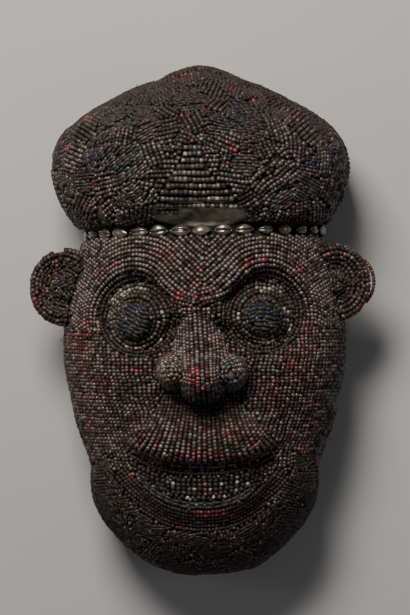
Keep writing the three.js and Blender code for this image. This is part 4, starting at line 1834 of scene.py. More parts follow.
@dataclass(frozen=True)
class EarWork(BeadWork):
    """Rings round the ear's rolled rim, and slanting rows inside it."""

    ear: Ear
    leans: tuple[float, float]
    thread: Rows = ()
    dish_share: float = 0.66
    groove_reach: float = 6.8
    left_side: tuple[int, int] = (46, 141)
    red_share: float = 0.55
    slate_share: float = 0.5
    fillers: int = 1500
    step: float = 0.5

    @cached_property
    def section(self) -> Array:
        """The ear's section at even steps, from the middle of its face round the rim."""
        raw = self.ear.profile()[::-1]
        reach = lengths_along(raw)
        return points_at(np.arange(0, reach[-1], self.step), reach, raw)

    @cached_property
    def net(self) -> Array:
        """The section turned round the ear, with the turn first, in steps of 2 degrees."""
        return self.ear.turned(self.section, np.linspace(0, 2 * math.pi, 181)).transpose(1, 0, 2)

    @cached_property
    def normals(self) -> Array:
        """Directions out of the ear at each point of its net."""
        return unit(np.cross(np.gradient(self.net, axis=1), np.gradient(self.net, axis=0)))

    def sew(self) -> None:
        """Sews the rings, the dish, and small beads wherever there is room.

        An ear with a thread across it has a groove of long beads inside the rim and along its left.
        """
        ear, net, random = self.ear, self.net, self.sewing.random
        inner = ear.radius - 2 * ear.rim - 1
        dish = inner * self.dish_share
        first, rim = (int(np.argmax(self.section[:, 0] > radius)) for radius in (dish, inner))
        groove = rim + int(self.groove_reach / self.step)
        runs = [(net[:, first:], RING, 0.4)]
        if self.thread:
            self.sew_thread()
            low, high = self.left_side
            left, right = net[low:high], np.concatenate([net[high - 1 : -1], net[: low + 1]])
            runs = [(right[:, first : rim + 1], SMALL, 0.3), (left[:, first : rim + 1], LONG, 0.5)]
            runs += [(net[:, rim:groove], LONG, 0.5), (net[:, groove:], RING, 0.4)]
        for part, bead, start in runs:
            self.sew_clear(*rows_over(part, bead, start=start), bead)
        for half, degrees in zip((1, -1), self.leans):
            self.sew_dish(dish, half, math.radians(degrees))
        angle = random.uniform(0, 2 * math.pi, self.fillers)
        far = (ear.radius - ear.rim) * 0.98 * np.sqrt(random.random(self.fillers))
        points = self.on_face(far * np.cos(angle), far * np.sin(angle))
        self.sew_clear(points, np.broadcast_to((0.0, 1.0, 0.0), points.shape), FILLER)

    def on_face(self, x: Array, y: Array) -> Array:
        """Points of the ear's face from two plain distances off its middle.

        Args:
            x: Distances to the right.
            y: Distances towards the cap.

        Returns:
            The points.
        """
        section = self.ear.profile()[::-1]
        face = section[: int(np.argmax(section[:, 0] > self.ear.radius - self.ear.rim - 0.1)) + 1]
        return self.ear.place(joined(x, y, np.interp(np.hypot(x, y), face[:, 0], face[:, 1])))

    def sew_thread(self) -> None:
        """Sews the mostly red thread that crosses the rings."""
        corners = np.array(self.thread)
        share = np.linspace(0, len(corners) - 1, 60)
        line = points_at(share, np.arange(len(corners)), corners)
        points, along = strung(self.on_face(*line.T), RING)
        red = self.sewing.random.random(len(points)) < self.red_share
        self.sew_clear(points, along, RING, np.where(red, Glass.RED, Glass.BROWN))

    def sew_dish(self, radius: float, half: int, lean: float) -> None:
        """Sews one half of the dish with parallel rows.

        Args:
            radius: The dish's radius.
            half: 1 for the upper half, -1 for the lower.
            lean: The rows' turn from level, in radians.
        """
        bead = Work.FINE.value
        u, v = grid(radius, bead)
        x = u * math.cos(lean) - v * math.sin(lean)
        y = u * math.sin(lean) + v * math.cos(lean)
        inside = (np.hypot(x, y) < radius) & (y * half > 0.8)
        points = self.on_face(x[inside], y[inside])
        direction = turn_matrix("Y", self.ear.side * self.ear.lean) @ (math.cos(lean), math.sin(lean), 0)
        self.sew_clear(points, np.broadcast_to(direction, points.shape), bead)

    def sew_clear(self, points: Array, along: Array, bead: Bead, glass: Array | None = None) -> None:
        """Sews the beads that the head and the cap don't cover, long ones dark or slate by chance.

        Args:
            points: Their places.
            along: The thread's directions.
            bead: The kind of bead.
            glass: Their colours, or None for the ear's own.
        """
        sewing = self.sewing
        keep = (HEAD.level(points) > CLEARANCE) & (CAP.level(points) > CLEARANCE)
        points, along = points[keep], along[keep]
        flat = self.net.reshape(-1, 3)
        nearest = np.array([np.argmin(((flat - point) ** 2).sum(1)) for point in points], dtype=int)
        glass = sewing.tinted(points, Region.EARS) if glass is None else glass[keep]
        if bead.long:
            slate = sewing.random.random(len(points)) < self.slate_share
            glass = np.where(slate, Glass.SLATE, Glass.DARK)
        sewing.sew(Region.EARS, points, along, self.normals.reshape(-1, 3)[nearest], bead, glass)


@dataclass(frozen=True)
class GapWork(BeadWork):
    """Single small beads in the gaps that the rows leave on a dome."""

    dome: Dome
    region: Region
    allowed: Rule
    front: int = 30000
    wall: int = 6000
    sunk: float = 0.3
    closeness: float = 0.88

    def sew(self) -> None:
        """Tries beads at random places, which stay only where there is room."""
        random, dome = self.sewing.random, self.dome
        angle = random.uniform(0, 2 * math.pi, self.front + self.wall)
        share = np.concatenate([random.random(self.front) ** 0.45, np.ones(self.wall)])
        behind = np.concatenate([np.zeros(self.front), random.uniform(0, dome.widest, self.wall)])
        points = dome.shell(angle, share, behind)
        points = points[(points[:, 2] > RIM_CLEARANCE) & self.allowed(points)]
        normal = dome.normal(points)
        along = unit(np.cross(normal, unit(random.normal(0, 1, points.shape))))
        places = points - self.sunk * normal
        self.sewing.sew(self.region, places, along, normal, FILLER, closeness=self.closeness)


def tints(glass: Glass, regions: tuple[Region, ...], *fields: tuple) -> list[Tint]:
    """Soft fields of one colour over some regions."""
    return [Tint(glass, regions, *field_) for field_ in fields]


FACE = (Region.BROWS, Region.CHEEKS, Region.NOSE, Region.MUZZLE, Region.CHIN)
TEMPLES = (Region.BROWS, Region.CHEEKS)
TINTS: list[Tint] = [
    *tints(
        Glass.PALE, (Region.EYES,),
        (-82, 16, 8, 14, 0.8), (-74, 28, 8, 6, 0.6), (-58, 31, 14, 4, 0.65), (-35, 2, 5, 14, 0.6),
        (-60, -23, 19, 3.5, 0.75), (58, 32, 14, 6, 0.9), (36, 2, 4, 12, 0.3), (60, -19, 16, 4, 0.6),
        (77, 2, 4, 14, 0.45),
    ),
    *tints(Glass.GREY, (Region.EYES,), (0, 0, 300, 300, 0.35)),
    *tints(
        Glass.RED, (Region.BROWS,),
        (-37, 60, 11, 7, 0.5), (0, 42, 8, 13, 0.45), (-20, 21, 11, 9, 0.6), (4, 24, 10, 8, 0.55),
        (49, 54, 15, 7, 0.35),
    ),
    *tints(
        Glass.RED, TEMPLES,
        (87, 47, 10, 8, 0.4), (-88, 50, 16, 9, 0.3), (-112, -20, 13, 24, 0.5), (-66, -40, 14, 8, 0.55),
        (-98, -60, 14, 12, 0.3), (98, -14, 10, 14, 0.6), (62, -61, 12, 9, 0.6), (86, -46, 9, 16, 0.5),
        (100, -80, 9, 12, 0.4), (-104, -96, 8, 14, 0.35), (92, -118, 7, 12, 0.35),
    ),
    *tints(Glass.RED, (Region.NOSE,), (-1, -52, 7, 14, 0.75), (18, -11, 6, 6, 0.4)),
    *tints(Glass.NAVY, (Region.NOSE,), (27, -60, 13, 11, 0.8)),
    *tints(Glass.SLATE, (Region.NOSE,), (27, -42, 13, 10, 0.6)),
    *tints(Glass.GREY, (Region.NOSE,), (-28, -46, 13, 16, 0.45)),
    *tints(
        Glass.RED, (Region.MUZZLE,),
        (-12, -122, 20, 5, 0.85), (18, -121, 12, 5, 0.8), (-60, -107, 10, 7, 0.65), (-46, -110, 10, 6, 0.3),
        (50, -109, 11, 6, 0.6), (7, -106, 3, 12, 0.5), (24, -106, 3, 12, 0.45), (-33, -99, 3, 3, 0.9),
    ),
    *tints(Glass.NAVY, (Region.MOUTH,), (7, -136, 12, 3.5, 0.8), (44, -126, 7, 5, 0.8)),
    *tints(Glass.RED, (Region.MOUTH,), (2, -153, 2.4, 10, 0.9)),
    *tints(Glass.GREY, (Region.MOUTH,), (0, -150, 60, 12, 0.12)),
    *tints(
        Glass.RED, (Region.CHIN,),
        (0, -177, 14, 3, 0.95), (18, -175, 12, 3.5, 0.9), (35, -168, 10, 4, 0.8), (-20, -192, 7, 5, 0.3),
    ),
    *tints(
        Glass.RED, (Region.CHIN, Region.CHEEKS, Region.BEARD), (-66, -142, 6, 8, 0.4), (62, -172, 7, 5, 0.4),
    ),
    *tints(Glass.NAVY, (Region.BEARD,), (86, -171, 9, 6, 0.5)),
    *tints(Glass.RED, FACE, (0, -70, 150, 60, 0.035), (90, -80, 40, 50, 0.05)),
    *tints(
        Glass.RED, (Region.CAP,),
        (-130, 165, 9, 8, 0.55), (-106, 190, 7, 5, 0.6), (-124, 141, 6, 4, 0.4), (-110, 112, 7, 9, 0.3),
        (-98, 127, 10, 6, 0.3), (-61, 130, 10, 4, 0.3), (-72, 171, 7, 5, 0.25), (-45, 167, 5, 4, 0.4),
        (-14, 187, 5, 6, 0.5), (-9, 171, 2.5, 13, 0.45), (4, 193, 3, 3, 0.9), (5, 175, 2.5, 2.5, 0.9),
        (46, 206, 5, 8, 0.5), (-24, 226, 7, 5, 0.3), (-8, 230, 12, 6, 0.25), (28, 215, 4, 4, 0.4),
        (78, 183, 3, 3, 0.9), (89, 190, 8, 5, 0.3), (92, 157, 2.5, 3.5, 1.0), (34, 157, 8, 4, 0.3),
        (40, 175, 4, 5, 0.4), (54, 130, 3, 3, 0.9), (78, 123, 7, 6, 0.2), (59, 93, 4, 4, 0.7),
        (89, 104, 4, 9, 0.3), (125, 128, 5, 7, 0.25),
    ),
    *tints(
        Glass.NAVY, (Region.CAP,),
        (-98, 153, 7, 9, 0.7), (-133, 155, 5, 7, 0.5), (-12, 206, 12, 7, 0.5), (36, 191, 9, 4, 0.7),
        (98, 146, 9, 4, 0.7), (126, 150, 6, 9, 0.6),
    ),
    *tints(
        Glass.SLATE, (Region.CAP,), (0, 150, 300, 300, 0.15), (-66, 146, 22, 16, 0.5), (18, 178, 20, 10, 0.4),
    ),
    *tints(
        Glass.BROWN, (Region.CAP,),
        (-92, 108, 9, 14, 0.7), (-45, 213, 42, 12, 0.55), (60, 205, 20, 10, 0.6), (118, 176, 12, 12, 0.7),
        (111, 150, 4, 10, 0.9), (42, 163, 10, 9, 0.6),
    ),
    *tints(Glass.RED, (Region.CAP,), (0, 150, 170, 100, 0.008)),
    *tints(
        Glass.PALE, (Region.PYRAMID,),
        (-4, 106, 12, 2, 0.6), (25, 106, 9, 2, 0.5), (-27, 123, 4, 4, 0.7), (3, 124, 6, 3, 0.5),
        (-11, 129, 4, 2, 0.6), (4, 129, 3, 2, 0.6), (-12, 151, 2.5, 8, 0.8), (1, 146, 3, 3, 0.6),
        (8, 112, 26, 3, 0.15), (-25, 101, 6, 2, 0.3),
    ),
    *tints(Glass.NAVY, (Region.PYRAMID,), (-1, 152, 7, 8, 0.7)),
    *tints(Glass.BROWN, (Region.PYRAMID,), (24, 110, 10, 6, 0.35)),
    *tints(Glass.GREY, (Region.PYRAMID,), (0, 126, 70, 60, 0.62)),
    *tints(
        Glass.RED, (Region.EARS,),
        (-160, 20, 9, 26, 0.35), (-140, 30, 12, 14, 0.25), (148, 12, 10, 10, 0.4), (130, 60, 16, 12, 0.2),
    ),
    *tints(
        Glass.BROWN, (Region.EARS,), (150, 40, 14, 24, 0.6), (-130, 66, 14, 8, 0.7), (0, 20, 400, 60, 0.3),
    ),
    *tints(Glass.BROWN, FACE, (0, 0, 400, 400, 0.2)),
    *tints(Glass.BROWN, (), (0, 0, 400, 400, 0.18)),
    *tints(Glass.GREY, (), (0, 0, 400, 400, 0.06)),
]
# Each region's lightness, partly the beads' own tone and partly painted light and shade: the brows and the
# nose lighter where they face the light, the sockets, eyes, mouth, chin and beard darker where shade falls
# under the brows, the lip and the jaw.
TONE_AND_PAINTED_LIGHT = {
    Region.BROWS: 2.55, Region.NOSE: 1.85, Region.CHEEKS: 0.95, Region.MUZZLE: 1.15, Region.CAP: 1.05,
    Region.BEARD: 0.26, Region.CHIN: 0.34, Region.MOUTH: 0.27, Region.SOCKETS: 0.45, Region.EYES: 0.5,
    Region.EARS: 0.7, Region.PYRAMID: 0.85,
}
F, C, L = Work
CAP_PATCHES = [Patch(*row) for row in (
    (-72, 148, 38, F), (-58, 139, 38, F), (-98, 154, 52, F), (-116, 152, -24, C),
    (-110, 172, -34, C), (-128, 166, 20, L), (-84, 181, 27, F), (-62, 190, 27, F),
    (-48, 179, 25, F), (-72, 168, 80, L), (-30, 173, 12, C), (-12, 204, 0, F),
    (-32, 207, 35, C), (-55, 205, 62, L), (-32, 190, -32, C), (-12, 183, -62, C),
    (-46, 151, -68, C), (-84, 124, 12, L), (-110, 133, 2, F), (-126, 130, 75, L),
    (-112, 110, 60, C), (-90, 106, 40, L), (-72, 94, 104, C), (-75, 111, -45, F),
    (-60, 117, 33, F, 0.02), (-55, 100, 80, L), (-36, 134, 0, C), (-50, 126, 84, C),
    (15, 180, -15, F), (20, 162, -24, C), (36, 192, -18, F), (48, 178, -6, F),
    (10, 212, 70, L), (48, 206, -62, C), (66, 203, 30, L), (64, 178, -74, C),
    (70, 191, -48, C), (82, 194, 47, C), (94, 176, 46, C), (110, 179, -40, F),
    (124, 166, -70, L), (92, 158, 84, C), (100, 146, -9, F), (112, 150, 86, C),
    (126, 145, 78, C), (78, 146, 42, C, -0.006), (60, 122, 40, C, -0.008),
    (40, 146, -3, F), (30, 130, -8, C), (98, 127, -24, F), (117, 123, 72, C, 0.02),
    (75, 112, 32, F), (90, 103, 86, C), (105, 104, 88, C), (76, 97, 60, C),
    (60, 94, 20, L), (48, 98, -35, L), (46, 111, 32, C), (10, 150, 0, L),
    (22, 146, 78, L), (60, 158, -60, L), (-84, 198, 40, L),
)]
BEARD_PATCHES = [Patch(*row) for row in (
    (-106, -158, -62, F), (-94, -176, -48, F), (-80, -194, -44, F), (-66, -212, -20, F),
    (-52, -220, 48, F), (-36, -226, -34, F), (-16, -232, 8, C), (4, -234, -6, F),
    (22, -230, 30, F), (40, -224, -20, C), (54, -214, 40, F), (72, -202, 24, F),
    (84, -184, -12, F), (98, -168, 52, F), (104, -150, -8, F), (-98, -146, 10, F),
)]


@dataclass(frozen=True)
class BeadMaker:
    """Turns the sewn beads into meshes: each a closed barrel with seven sides."""

    sides: int = 7
    stations: tuple[float, ...] = (-0.5, 0.0, 0.5)

    def build(self, name: str, beads: dict[str, Array], finishes: list[Material]) -> Piece:
        """Makes one piece of many beads.

        A corner lies at the bead's place, plus a station along the thread, plus a girth times the
        cosine of its turn outwards and the sine of its turn sideways. The girth is 1 in the middle.

        Args:
            name: The piece's name.
            beads: The places, directions, sizes, colours and tones.
            finishes: The materials, in the order of the colours.

        Returns:
            The piece.
        """
        along, glass = beads["along"], beads["glass"]
        width, length, ends = beads["size"].T[..., None, None, None]
        out = unit(beads["out"] - (beads["out"] * along).sum(-1, keepdims=True) * along)
        aside = np.cross(along, out)
        count, sides, rings = len(along), self.sides, len(self.stations)
        turn = np.arange(sides) / sides * 2 * math.pi + beads["roll"][:, None]
        round_ = np.cos(turn)[..., None] * out[:, None] + np.sin(turn)[..., None] * aside[:, None]
        station = np.array(self.stations)[None, :, None, None]
        girth = np.where(station == 0, 1.0, ends)
        round_ = girth * (round_[:, None] * (width / 2))
        points = beads["points"][:, None, None] + station * length * along[:, None, None] + round_
        start = (np.arange(count) * sides * rings)[:, None, None]
        walls = start + lattice(rings, sides, True)[None]
        ring = np.arange(sides)
        caps = start + np.stack([ring[::-1], ring + (rings - 1) * sides])[None]
        faces = [walls.reshape(-1, 4), caps.reshape(-1, sides)]
        index = np.concatenate([np.repeat(glass, walls.shape[1]), np.repeat(glass, 2)])
        tone = np.repeat(beads["tone"], sides * rings)
        return mesh_object(name, points.reshape(-1, 3), faces, finishes, index, tone)


# Shells, body, threads and studio


@dataclass(frozen=True)
class CowrieRow:
    """The cowries: egg-shaped shells along the crease, with a toothed slit outwards."""

    count: int = 21
    pitch: float = 19.6
    length: float = 19.0
    width: float = 13.2
    thickness: float = 8.2
    gap: float = 0.45
    teeth: int = 11
    less_on_right: float = 0.14

    def build(self, finish: Material, random: Chance) -> list[Piece]:
        """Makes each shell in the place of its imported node.

        Args:
            finish: The shell's material.
            random: The source of chance.

        Returns:
            The shells.
        """
        reaches = (np.arange(self.count) - (self.count - 1) / 2) * self.pitch
        points, along, up, out = CREASE.frames(reaches)
        middle = (0, 0, self.thickness / 2)
        shells = []
        for i in range(self.count):
            local, faces, tone = self.shell(1 if i % 2 else -1, i % 4 == 2)
            smaller = self.less_on_right * ramp(-20, 60, points[i, 0])
            local = local * (random.uniform(0.92, 1.02) - smaller, random.uniform(0.82, 1.0) - smaller, 1)
            tilt = turn_matrix("Z", random.normal(0, 6)) @ turn_matrix("X", random.normal(0, 7))
            local = (local - middle) @ tilt.T + middle
            seat = points[i] + out[i] * (self.gap - CREASE.seat)
            placed = seat + local[:, :1] * along[i] + local[:, 1:2] * up[i] + local[:, 2:] * out[i]
            shells.append(mesh_object(f"cowrie_shell_{i + 1:02d}", placed, faces, [finish], tone=tone))
        return shells

    def shell(self, blunt: int, back_out: bool) -> tuple[Array, list[Array], Array]:
        """One shell in its own frame: X along it, Y across it and Z out.

        The girth is 1 less the station squared, to a power, and fuller at one end. The slit is a groove
        along the front whose lips wave with the teeth. The tone is darker in the slit and between the teeth,
        as painted shade, and lighter where the girth is full.

        Args:
            blunt: Which end is fuller.
            back_out: Whether the smooth back shows, and not the slit.

        Returns:
            The points, the faces and the tone of each point.
        """
        station = np.sin(np.linspace(-1, 1, 34) * math.pi / 2)[1:-1]
        turn = np.linspace(0, 2 * math.pi, 40, endpoint=False)
        s, t = np.meshgrid(station, turn, indexing="ij")
        girth = (1 - s * s) ** 0.82 * (1 + 0.16 * s * blunt)
        front = (np.cos(t) > 0) & (not back_out)
        z = np.cos(t) * girth * np.where(np.cos(t) > 0, 0.86, 1.0)
        y = np.sin(t) * girth
        slit = bell((y - 0.05 * np.sin(s * 3)) / 0.13) * front * ramp(0.98, 0.8, np.abs(s))
        teeth = 0.5 + 0.5 * np.cos(s * math.pi * self.teeth)
        lips = bell((np.abs(y) - 0.25) / 0.16) * front * ramp(0.95, 0.7, np.abs(s))
        z = z - 0.42 * slit + 0.07 * lips * teeth
        # Painted shade: the tone falls in the slit and between the teeth; it rises with the girth.
        tone = np.clip(0.75 - 0.8 * slit - 0.25 * lips * (1 - teeth) + 0.2 * girth, 0, 1)
        size = np.array([self.length, self.width, self.thickness])
        points, faces = closed_tube(joined(s, y, 1 + z) * size / 2)
        return points, faces, np.concatenate([tone.ravel(), [0.4, 0.4]])


@dataclass(frozen=True)
class WoodenBody:
    """The hollow carved head, cap and ears in one, with cloth sewn tight over the outside."""

    cloth: Material
    wood: Material
    skin_depth: float = 1.5
    head_walls: tuple[float, float] = (17.0, 19.0)
    cap_walls: tuple[float, float] = (20.0, 24.0)
    gouge_depth: float = 0.9

    def build(self) -> Piece:
        """Joins the three forms, cuts the hollows and cuts the back flat.

        Returns:
            The body.
        """
        body = self.covered("wood_and_cloth_body", HEAD, 128, 176)
        joins = [self.covered("cap_form", CAP, 84, 56), *(self.ear_form(ear) for ear in EARS)]
        hollows = [self.hollow(HEAD, *self.head_walls), self.hollow(CAP, *self.cap_walls)]
        for tool in joins:
            self.combine(body, tool, "UNION")
        for tool in [*hollows, self.ground()]:
            self.combine(body, tool, "DIFFERENCE")
        return body

    def form(self, name: str, points: Array, faces: Array | list[Array], wooden: bool = False) -> Piece:
        """A closed form with both materials, all of it of cloth or of wood.

        Args:
            name: The object's name.
            points: Its points.
            faces: Its tables of faces.
            wooden: Whether it is of wood.

        Returns:
            The form.
        """
        piece = mesh_object(name, points, faces, [self.cloth, self.wood])
        count = len(piece.data.polygons)
        piece.data.polygons.foreach_set("material_index", np.full(count, int(wooden), dtype=np.int32))
        return piece

    def covered(self, name: str, dome: Dome, columns: int, rows: int) -> Piece:
        """One form's outside, drawn in to the cloth under the beads.

        Args:
            name: The object's name.
            dome: The form.
            columns: Meshes from side to side.
            rows: Meshes from the chin to the cap.

        Returns:
            The closed object.
        """
        points, faces = square_net(dome, columns, rows, np.linspace(4, dome.widest + 8, 14))
        sunk = points - dome.normal(points) * self.skin_depth
        if dome is CAP:
            sunk = sunk + self.creases(points)[:, None] * dome.normal(points)
        return self.form(name, sunk, faces)

    def creases(self, points: Array) -> Array:
        """Folds in the cloth of the cap's bare patch, as slanting waves that fade at its edge.

        Args:
            points: The points.

        Returns:
            The height of the folds at each point.
        """
        x, y, z = points.T
        patch = bell((x + 4) / 44) * bell((y - 104) / 13) * ramp(110, 140, z)
        waves = np.sin(x * 0.33 + y * 0.21 + 1.7 * np.sin(y * 0.16)) + 0.6 * np.sin(x * 0.13 - y * 0.5)
        return patch * (0.1 + 0.8 * waves)

    def hollow(self, dome: Dome, side_wall: float, front_wall: float) -> Piece:
        """A hollow with shallow gouge marks, as a tool to cut with.

        Args:
            dome: The form.
            side_wall: How far the hollow lies inside at the sides.
            front_wall: How far it lies inside in front.

        Returns:
            The closed object.
        """
        depths = np.linspace(4, dome.widest + 14, 16)
        points, faces = square_net(dome, 60, 72, depths, inset=side_wall, front=front_wall)
        outward = unit(points - np.array([dome.x, dome.y, 30.0]))
        wave = np.abs(np.sin(points[:, 0] * 0.19 + 1.3 * np.sin(points[:, 1] * 0.05)))
        wave = wave * np.abs(np.sin(points[:, 1] * 0.13 + points[:, 2] * 0.11))
        return self.form("hollow", points - outward * (self.gouge_depth * wave)[:, None], faces, wooden=True)

    def ear_form(self, ear: Ear) -> Piece:
        """An ear's disc under its beads, turned from its section."""
        section, turn = ear.profile(self.skin_depth)[1:-1], np.linspace(0, 2 * math.pi, 60, endpoint=False)
        return self.form("ear_form", *closed_tube(ear.turned(section, turn)))

    def ground(self) -> Piece:
        """A block below the rim's plane, as a tool to cut with."""
        corners = np.array([(x, y, z) for z in (-60, 0) for y in (-400, 400) for x in (-400, 400)], float)
        sides = (0, 2, 3, 1), (4, 5, 7, 6), (0, 1, 5, 4), (2, 6, 7, 3), (0, 4, 6, 2), (1, 3, 7, 5)
        return self.form("ground_form", corners, np.array(sides), wooden=True)

    def combine(self, body: Piece, tool: Piece, operation: str) -> None:
        """Joins or cuts the body with a tool, and removes the tool.

        Args:
            body: The body.
            tool: The tool.
            operation: UNION or DIFFERENCE.
        """
        modifier = body.modifiers.new(operation, "BOOLEAN")
        modifier.operation = operation
        modifier.solver = "MANIFOLD"
        modifier.object = tool
        graph = bpy.context.evaluated_depsgraph_get()
        mesh = bpy.data.meshes.new_from_object(body.evaluated_get(graph))
        body.modifiers.clear()
        old = body.data
        body.data = mesh
        bpy.data.meshes.remove(old)
        bpy.data.objects.remove(tool)


@dataclass(frozen=True)
class LooseStrand:
    """Red beads on a thread that bows away from the right ear's rim."""

    ear: Ear = EARS[1]
    beads: int = 15
    bead: Bead = Bead(3.8, 2.8, ends=0.75)
    start: float = 34.0
    end: float = -29.0
    stand: float = 2.6
    bow: float = 3.6
    thread_radius: float = 0.5

    def line(self, count: int) -> Array:
        """The thread: an arc about the ear whose distance swells by half a sine wave.

        Args:
            count: How many points.

        Returns:
            The points.
        """
        share = np.linspace(0, 1, count)
        turn = np.radians(self.start + (self.end - self.start) * share)
        away = self.ear.radius + self.stand + self.bow * np.sin(share * math.pi)
        return self.ear.place(joined(away * np.cos(turn), away * np.sin(turn), 0 * turn))

    def thread(self, finish: Material) -> Piece:
        """The thread as a thin tube."""
        return mesh_object("loose_strand_thread", *tube(self.line(60), self.thread_radius), [finish])

    def sewn(self, random: Chance) -> dict[str, Array]:
        """The strand's beads, ready to be made.

        Args:
            random: The source of chance.

        Returns:
            The places, directions, sizes, colours, tones and turns.
        """
        count, ear, bead = self.beads, self.ear, self.bead
        points = points_at((np.arange(count) + 0.5) / count * 239, np.arange(240), self.line(240))
        return {
            "points": points,
            "along": unit(np.gradient(points, axis=0)),
            "out": unit(points - (ear.x, ear.y, ear.z)),
            "size": np.tile([[bead.width, bead.length, bead.ends]], (count, 1)),
            "glass": np.full(count, int(Glass.RED)),
            "tone": random.random(count),
            "roll": random.random(count) * 6.3,
        }


def tube(line: Array, radius: float, sides: int = 6) -> tuple[Array, list[Array]]:
    """A closed thin tube along a line.

    A ring lies round each point in the plane square to the line, turned from a fixed direction.

    Args:
        line: The middle line.
        radius: The tube's radius.
        sides: Its sides.

    Returns:
        The points and the faces.
    """
    along = unit(np.gradient(line, axis=0))
    aside = unit(np.cross(along, np.array([0.31, 0.17, 0.94])))
    up = np.cross(along, aside)
    turn = np.arange(sides) / sides * 2 * math.pi
    thin = radius * np.where(np.arange(len(line)) % (len(line) - 1) == 0, 0.4, 1.0)[:, None, None]
    ring = np.cos(turn)[:, None] * aside[:, None] + np.sin(turn)[:, None] * up[:, None]
    return closed_tube(line[:, None] + thin * ring)


@dataclass(frozen=True)
class LooseThreads:
    """Broken thread ends that stand out from the beadwork, some in known places, some by chance."""

    radius: float = 0.28
    tufts: int = 46
    known: Rows = (
        (-131, -20, 62, 14), (-131, -38, 60, 9), (134, 71, 78, 10), (108, 84, 104, 9), (119, -112, 66, 8),
        (-90, 208, 76, 9), (-120, 186, 80, 7), (36, -112, 182, 12), (104, -96, 96, 7), (-60, 222, 90, 8),
        (70, 212, 78, 6), (-30, 98, 168, 9),
    )

    def build(self, finish: Material, random: Chance) -> Piece:
        """Makes every loose end as a short curl.

        Args:
            finish: The thread's material.
            random: The source of chance.

        Returns:
            The threads as one piece.
        """
        tubes = [tube(line, self.radius, 5) for line in self.lines(random)]
        firsts = np.cumsum([0, *(len(points) for points, _ in tubes)])
        tables = [table + first for (_, faces), first in zip(tubes, firsts) for table in faces]
        return mesh_object("loose_threads", np.concatenate([points for points, _ in tubes]), tables, [finish])

    def lines(self, random: Chance) -> list[Array]:
        """The threads' middle lines: a point, plus a rise out and a curl to the side.

        Args:
            random: The source of chance.

        Returns:
            One array of points for each thread.
        """
        turn = random.uniform(0.25, 2.9, self.tufts)
        edge = CAP.shell(turn, np.full(self.tufts, 0.97), np.zeros(self.tufts))
        reaches = random.uniform(3, 8, self.tufts)
        share = np.linspace(0, 1, 14)[:, None]
        lines = []
        for x, y, z, reach in [*self.known, *((*place, reach) for place, reach in zip(edge, reaches))]:
            away = unit(np.array([x, (y - 20) * 0.6, z * 0.9 - 40]))
            curl = unit(random.normal(0, 1, 3)) * reach * 0.5
            bend = np.sin(share * math.pi) * curl
            lines.append(np.array([x, y, z]) - away + away * share * reach * 0.5 + bend)
        return lines


@dataclass(frozen=True)
class Studio:
    """The camera at the photograph's angle, a pale floor and soft light."""

    frame_width: int = 410
    scale: float = 0.96
    distance: float = 2200.0
    plane: float = 60.0
    lean: float = 2.08
    centre: tuple[float, float] = (0.0, 13.0)

    def camera(self) -> None:
        """Sets a camera that looks down on the lying mask, the cap towards the picture's top."""
        data = bpy.data.cameras.new("camera")
        data.sensor_fit = "HORIZONTAL"
        data.sensor_width = 36.0
        data.lens = 36.0 * self.distance / (self.frame_width * self.scale)
        data.clip_end = 20
        camera = bpy.data.objects.new("camera", data)
        bpy.context.scene.collection.objects.link(camera)
        aim = Vector((self.centre[0], self.centre[1], self.plane)) * MM
        lean = math.radians(self.lean)
        back = Vector((math.sin(lean), 0, math.cos(lean)))
        camera.location = aim + back * self.distance * MM
        camera.rotation_euler = (0, lean, 0)
        bpy.context.scene.camera = camera

    def light(self, name: str, place: tuple, aim: tuple, size: tuple, power: float, colour: tuple) -> None:
        """Sets one soft rectangular light.

        Args:
            name: The light's name.
            place: Where it stands, in metres.
            aim: What it faces, in metres.
            size: Its width and height in metres.
            power: Its power in watts.
            colour: Its colour.
        """
        data = bpy.data.lights.new(name, "AREA")
        data.shape = "RECTANGLE"
        data.size, data.size_y = size
        data.energy = power
        data.color = colour
        lamp = bpy.data.objects.new(name, data)
        lamp.location = place
        lamp.rotation_euler = (Vector(aim) - Vector(place)).to_track_quat("-Z", "Y").to_euler()
        bpy.context.scene.collection.objects.link(lamp)

    def build(self) -> None:
        """Sets the camera, the lights, the soft sky and the floor."""
        self.camera()
        self.light("key", (-0.32, 1.0, 1.45), (0, 0.05, 0.1), (0.7, 0.55), 43, (1.0, 0.955, 0.9))
        self.light("fill", (1.6, -0.1, 1.2), (0, 0, 0.1), (0.6, 1.0), 2.5, (0.95, 0.97, 1.0))
        self.light("side", (-1.6, 0.2, 1.0), (0, 0, 0.1), (0.5, 1.0), 2.2, (1.0, 0.97, 0.94))
        world = bpy.data.worlds.new("soft_sky")
        world.use_nodes = True
        background = world.node_tree.nodes["Background"]
        background.inputs["Color"].default_value = (0.9, 0.93, 1.0, 1)
        background.inputs["Strength"].default_value = 0.1
        bpy.context.scene.world = world
        corners = np.array([(-3000, -3000, 0), (3000, -3000, 0), (3000, 3000, 0), (-3000, 3000, 0)], float)
        floor = mesh_object("floor", corners, np.array([(0, 1, 2, 3)]), [FLOOR.material()])


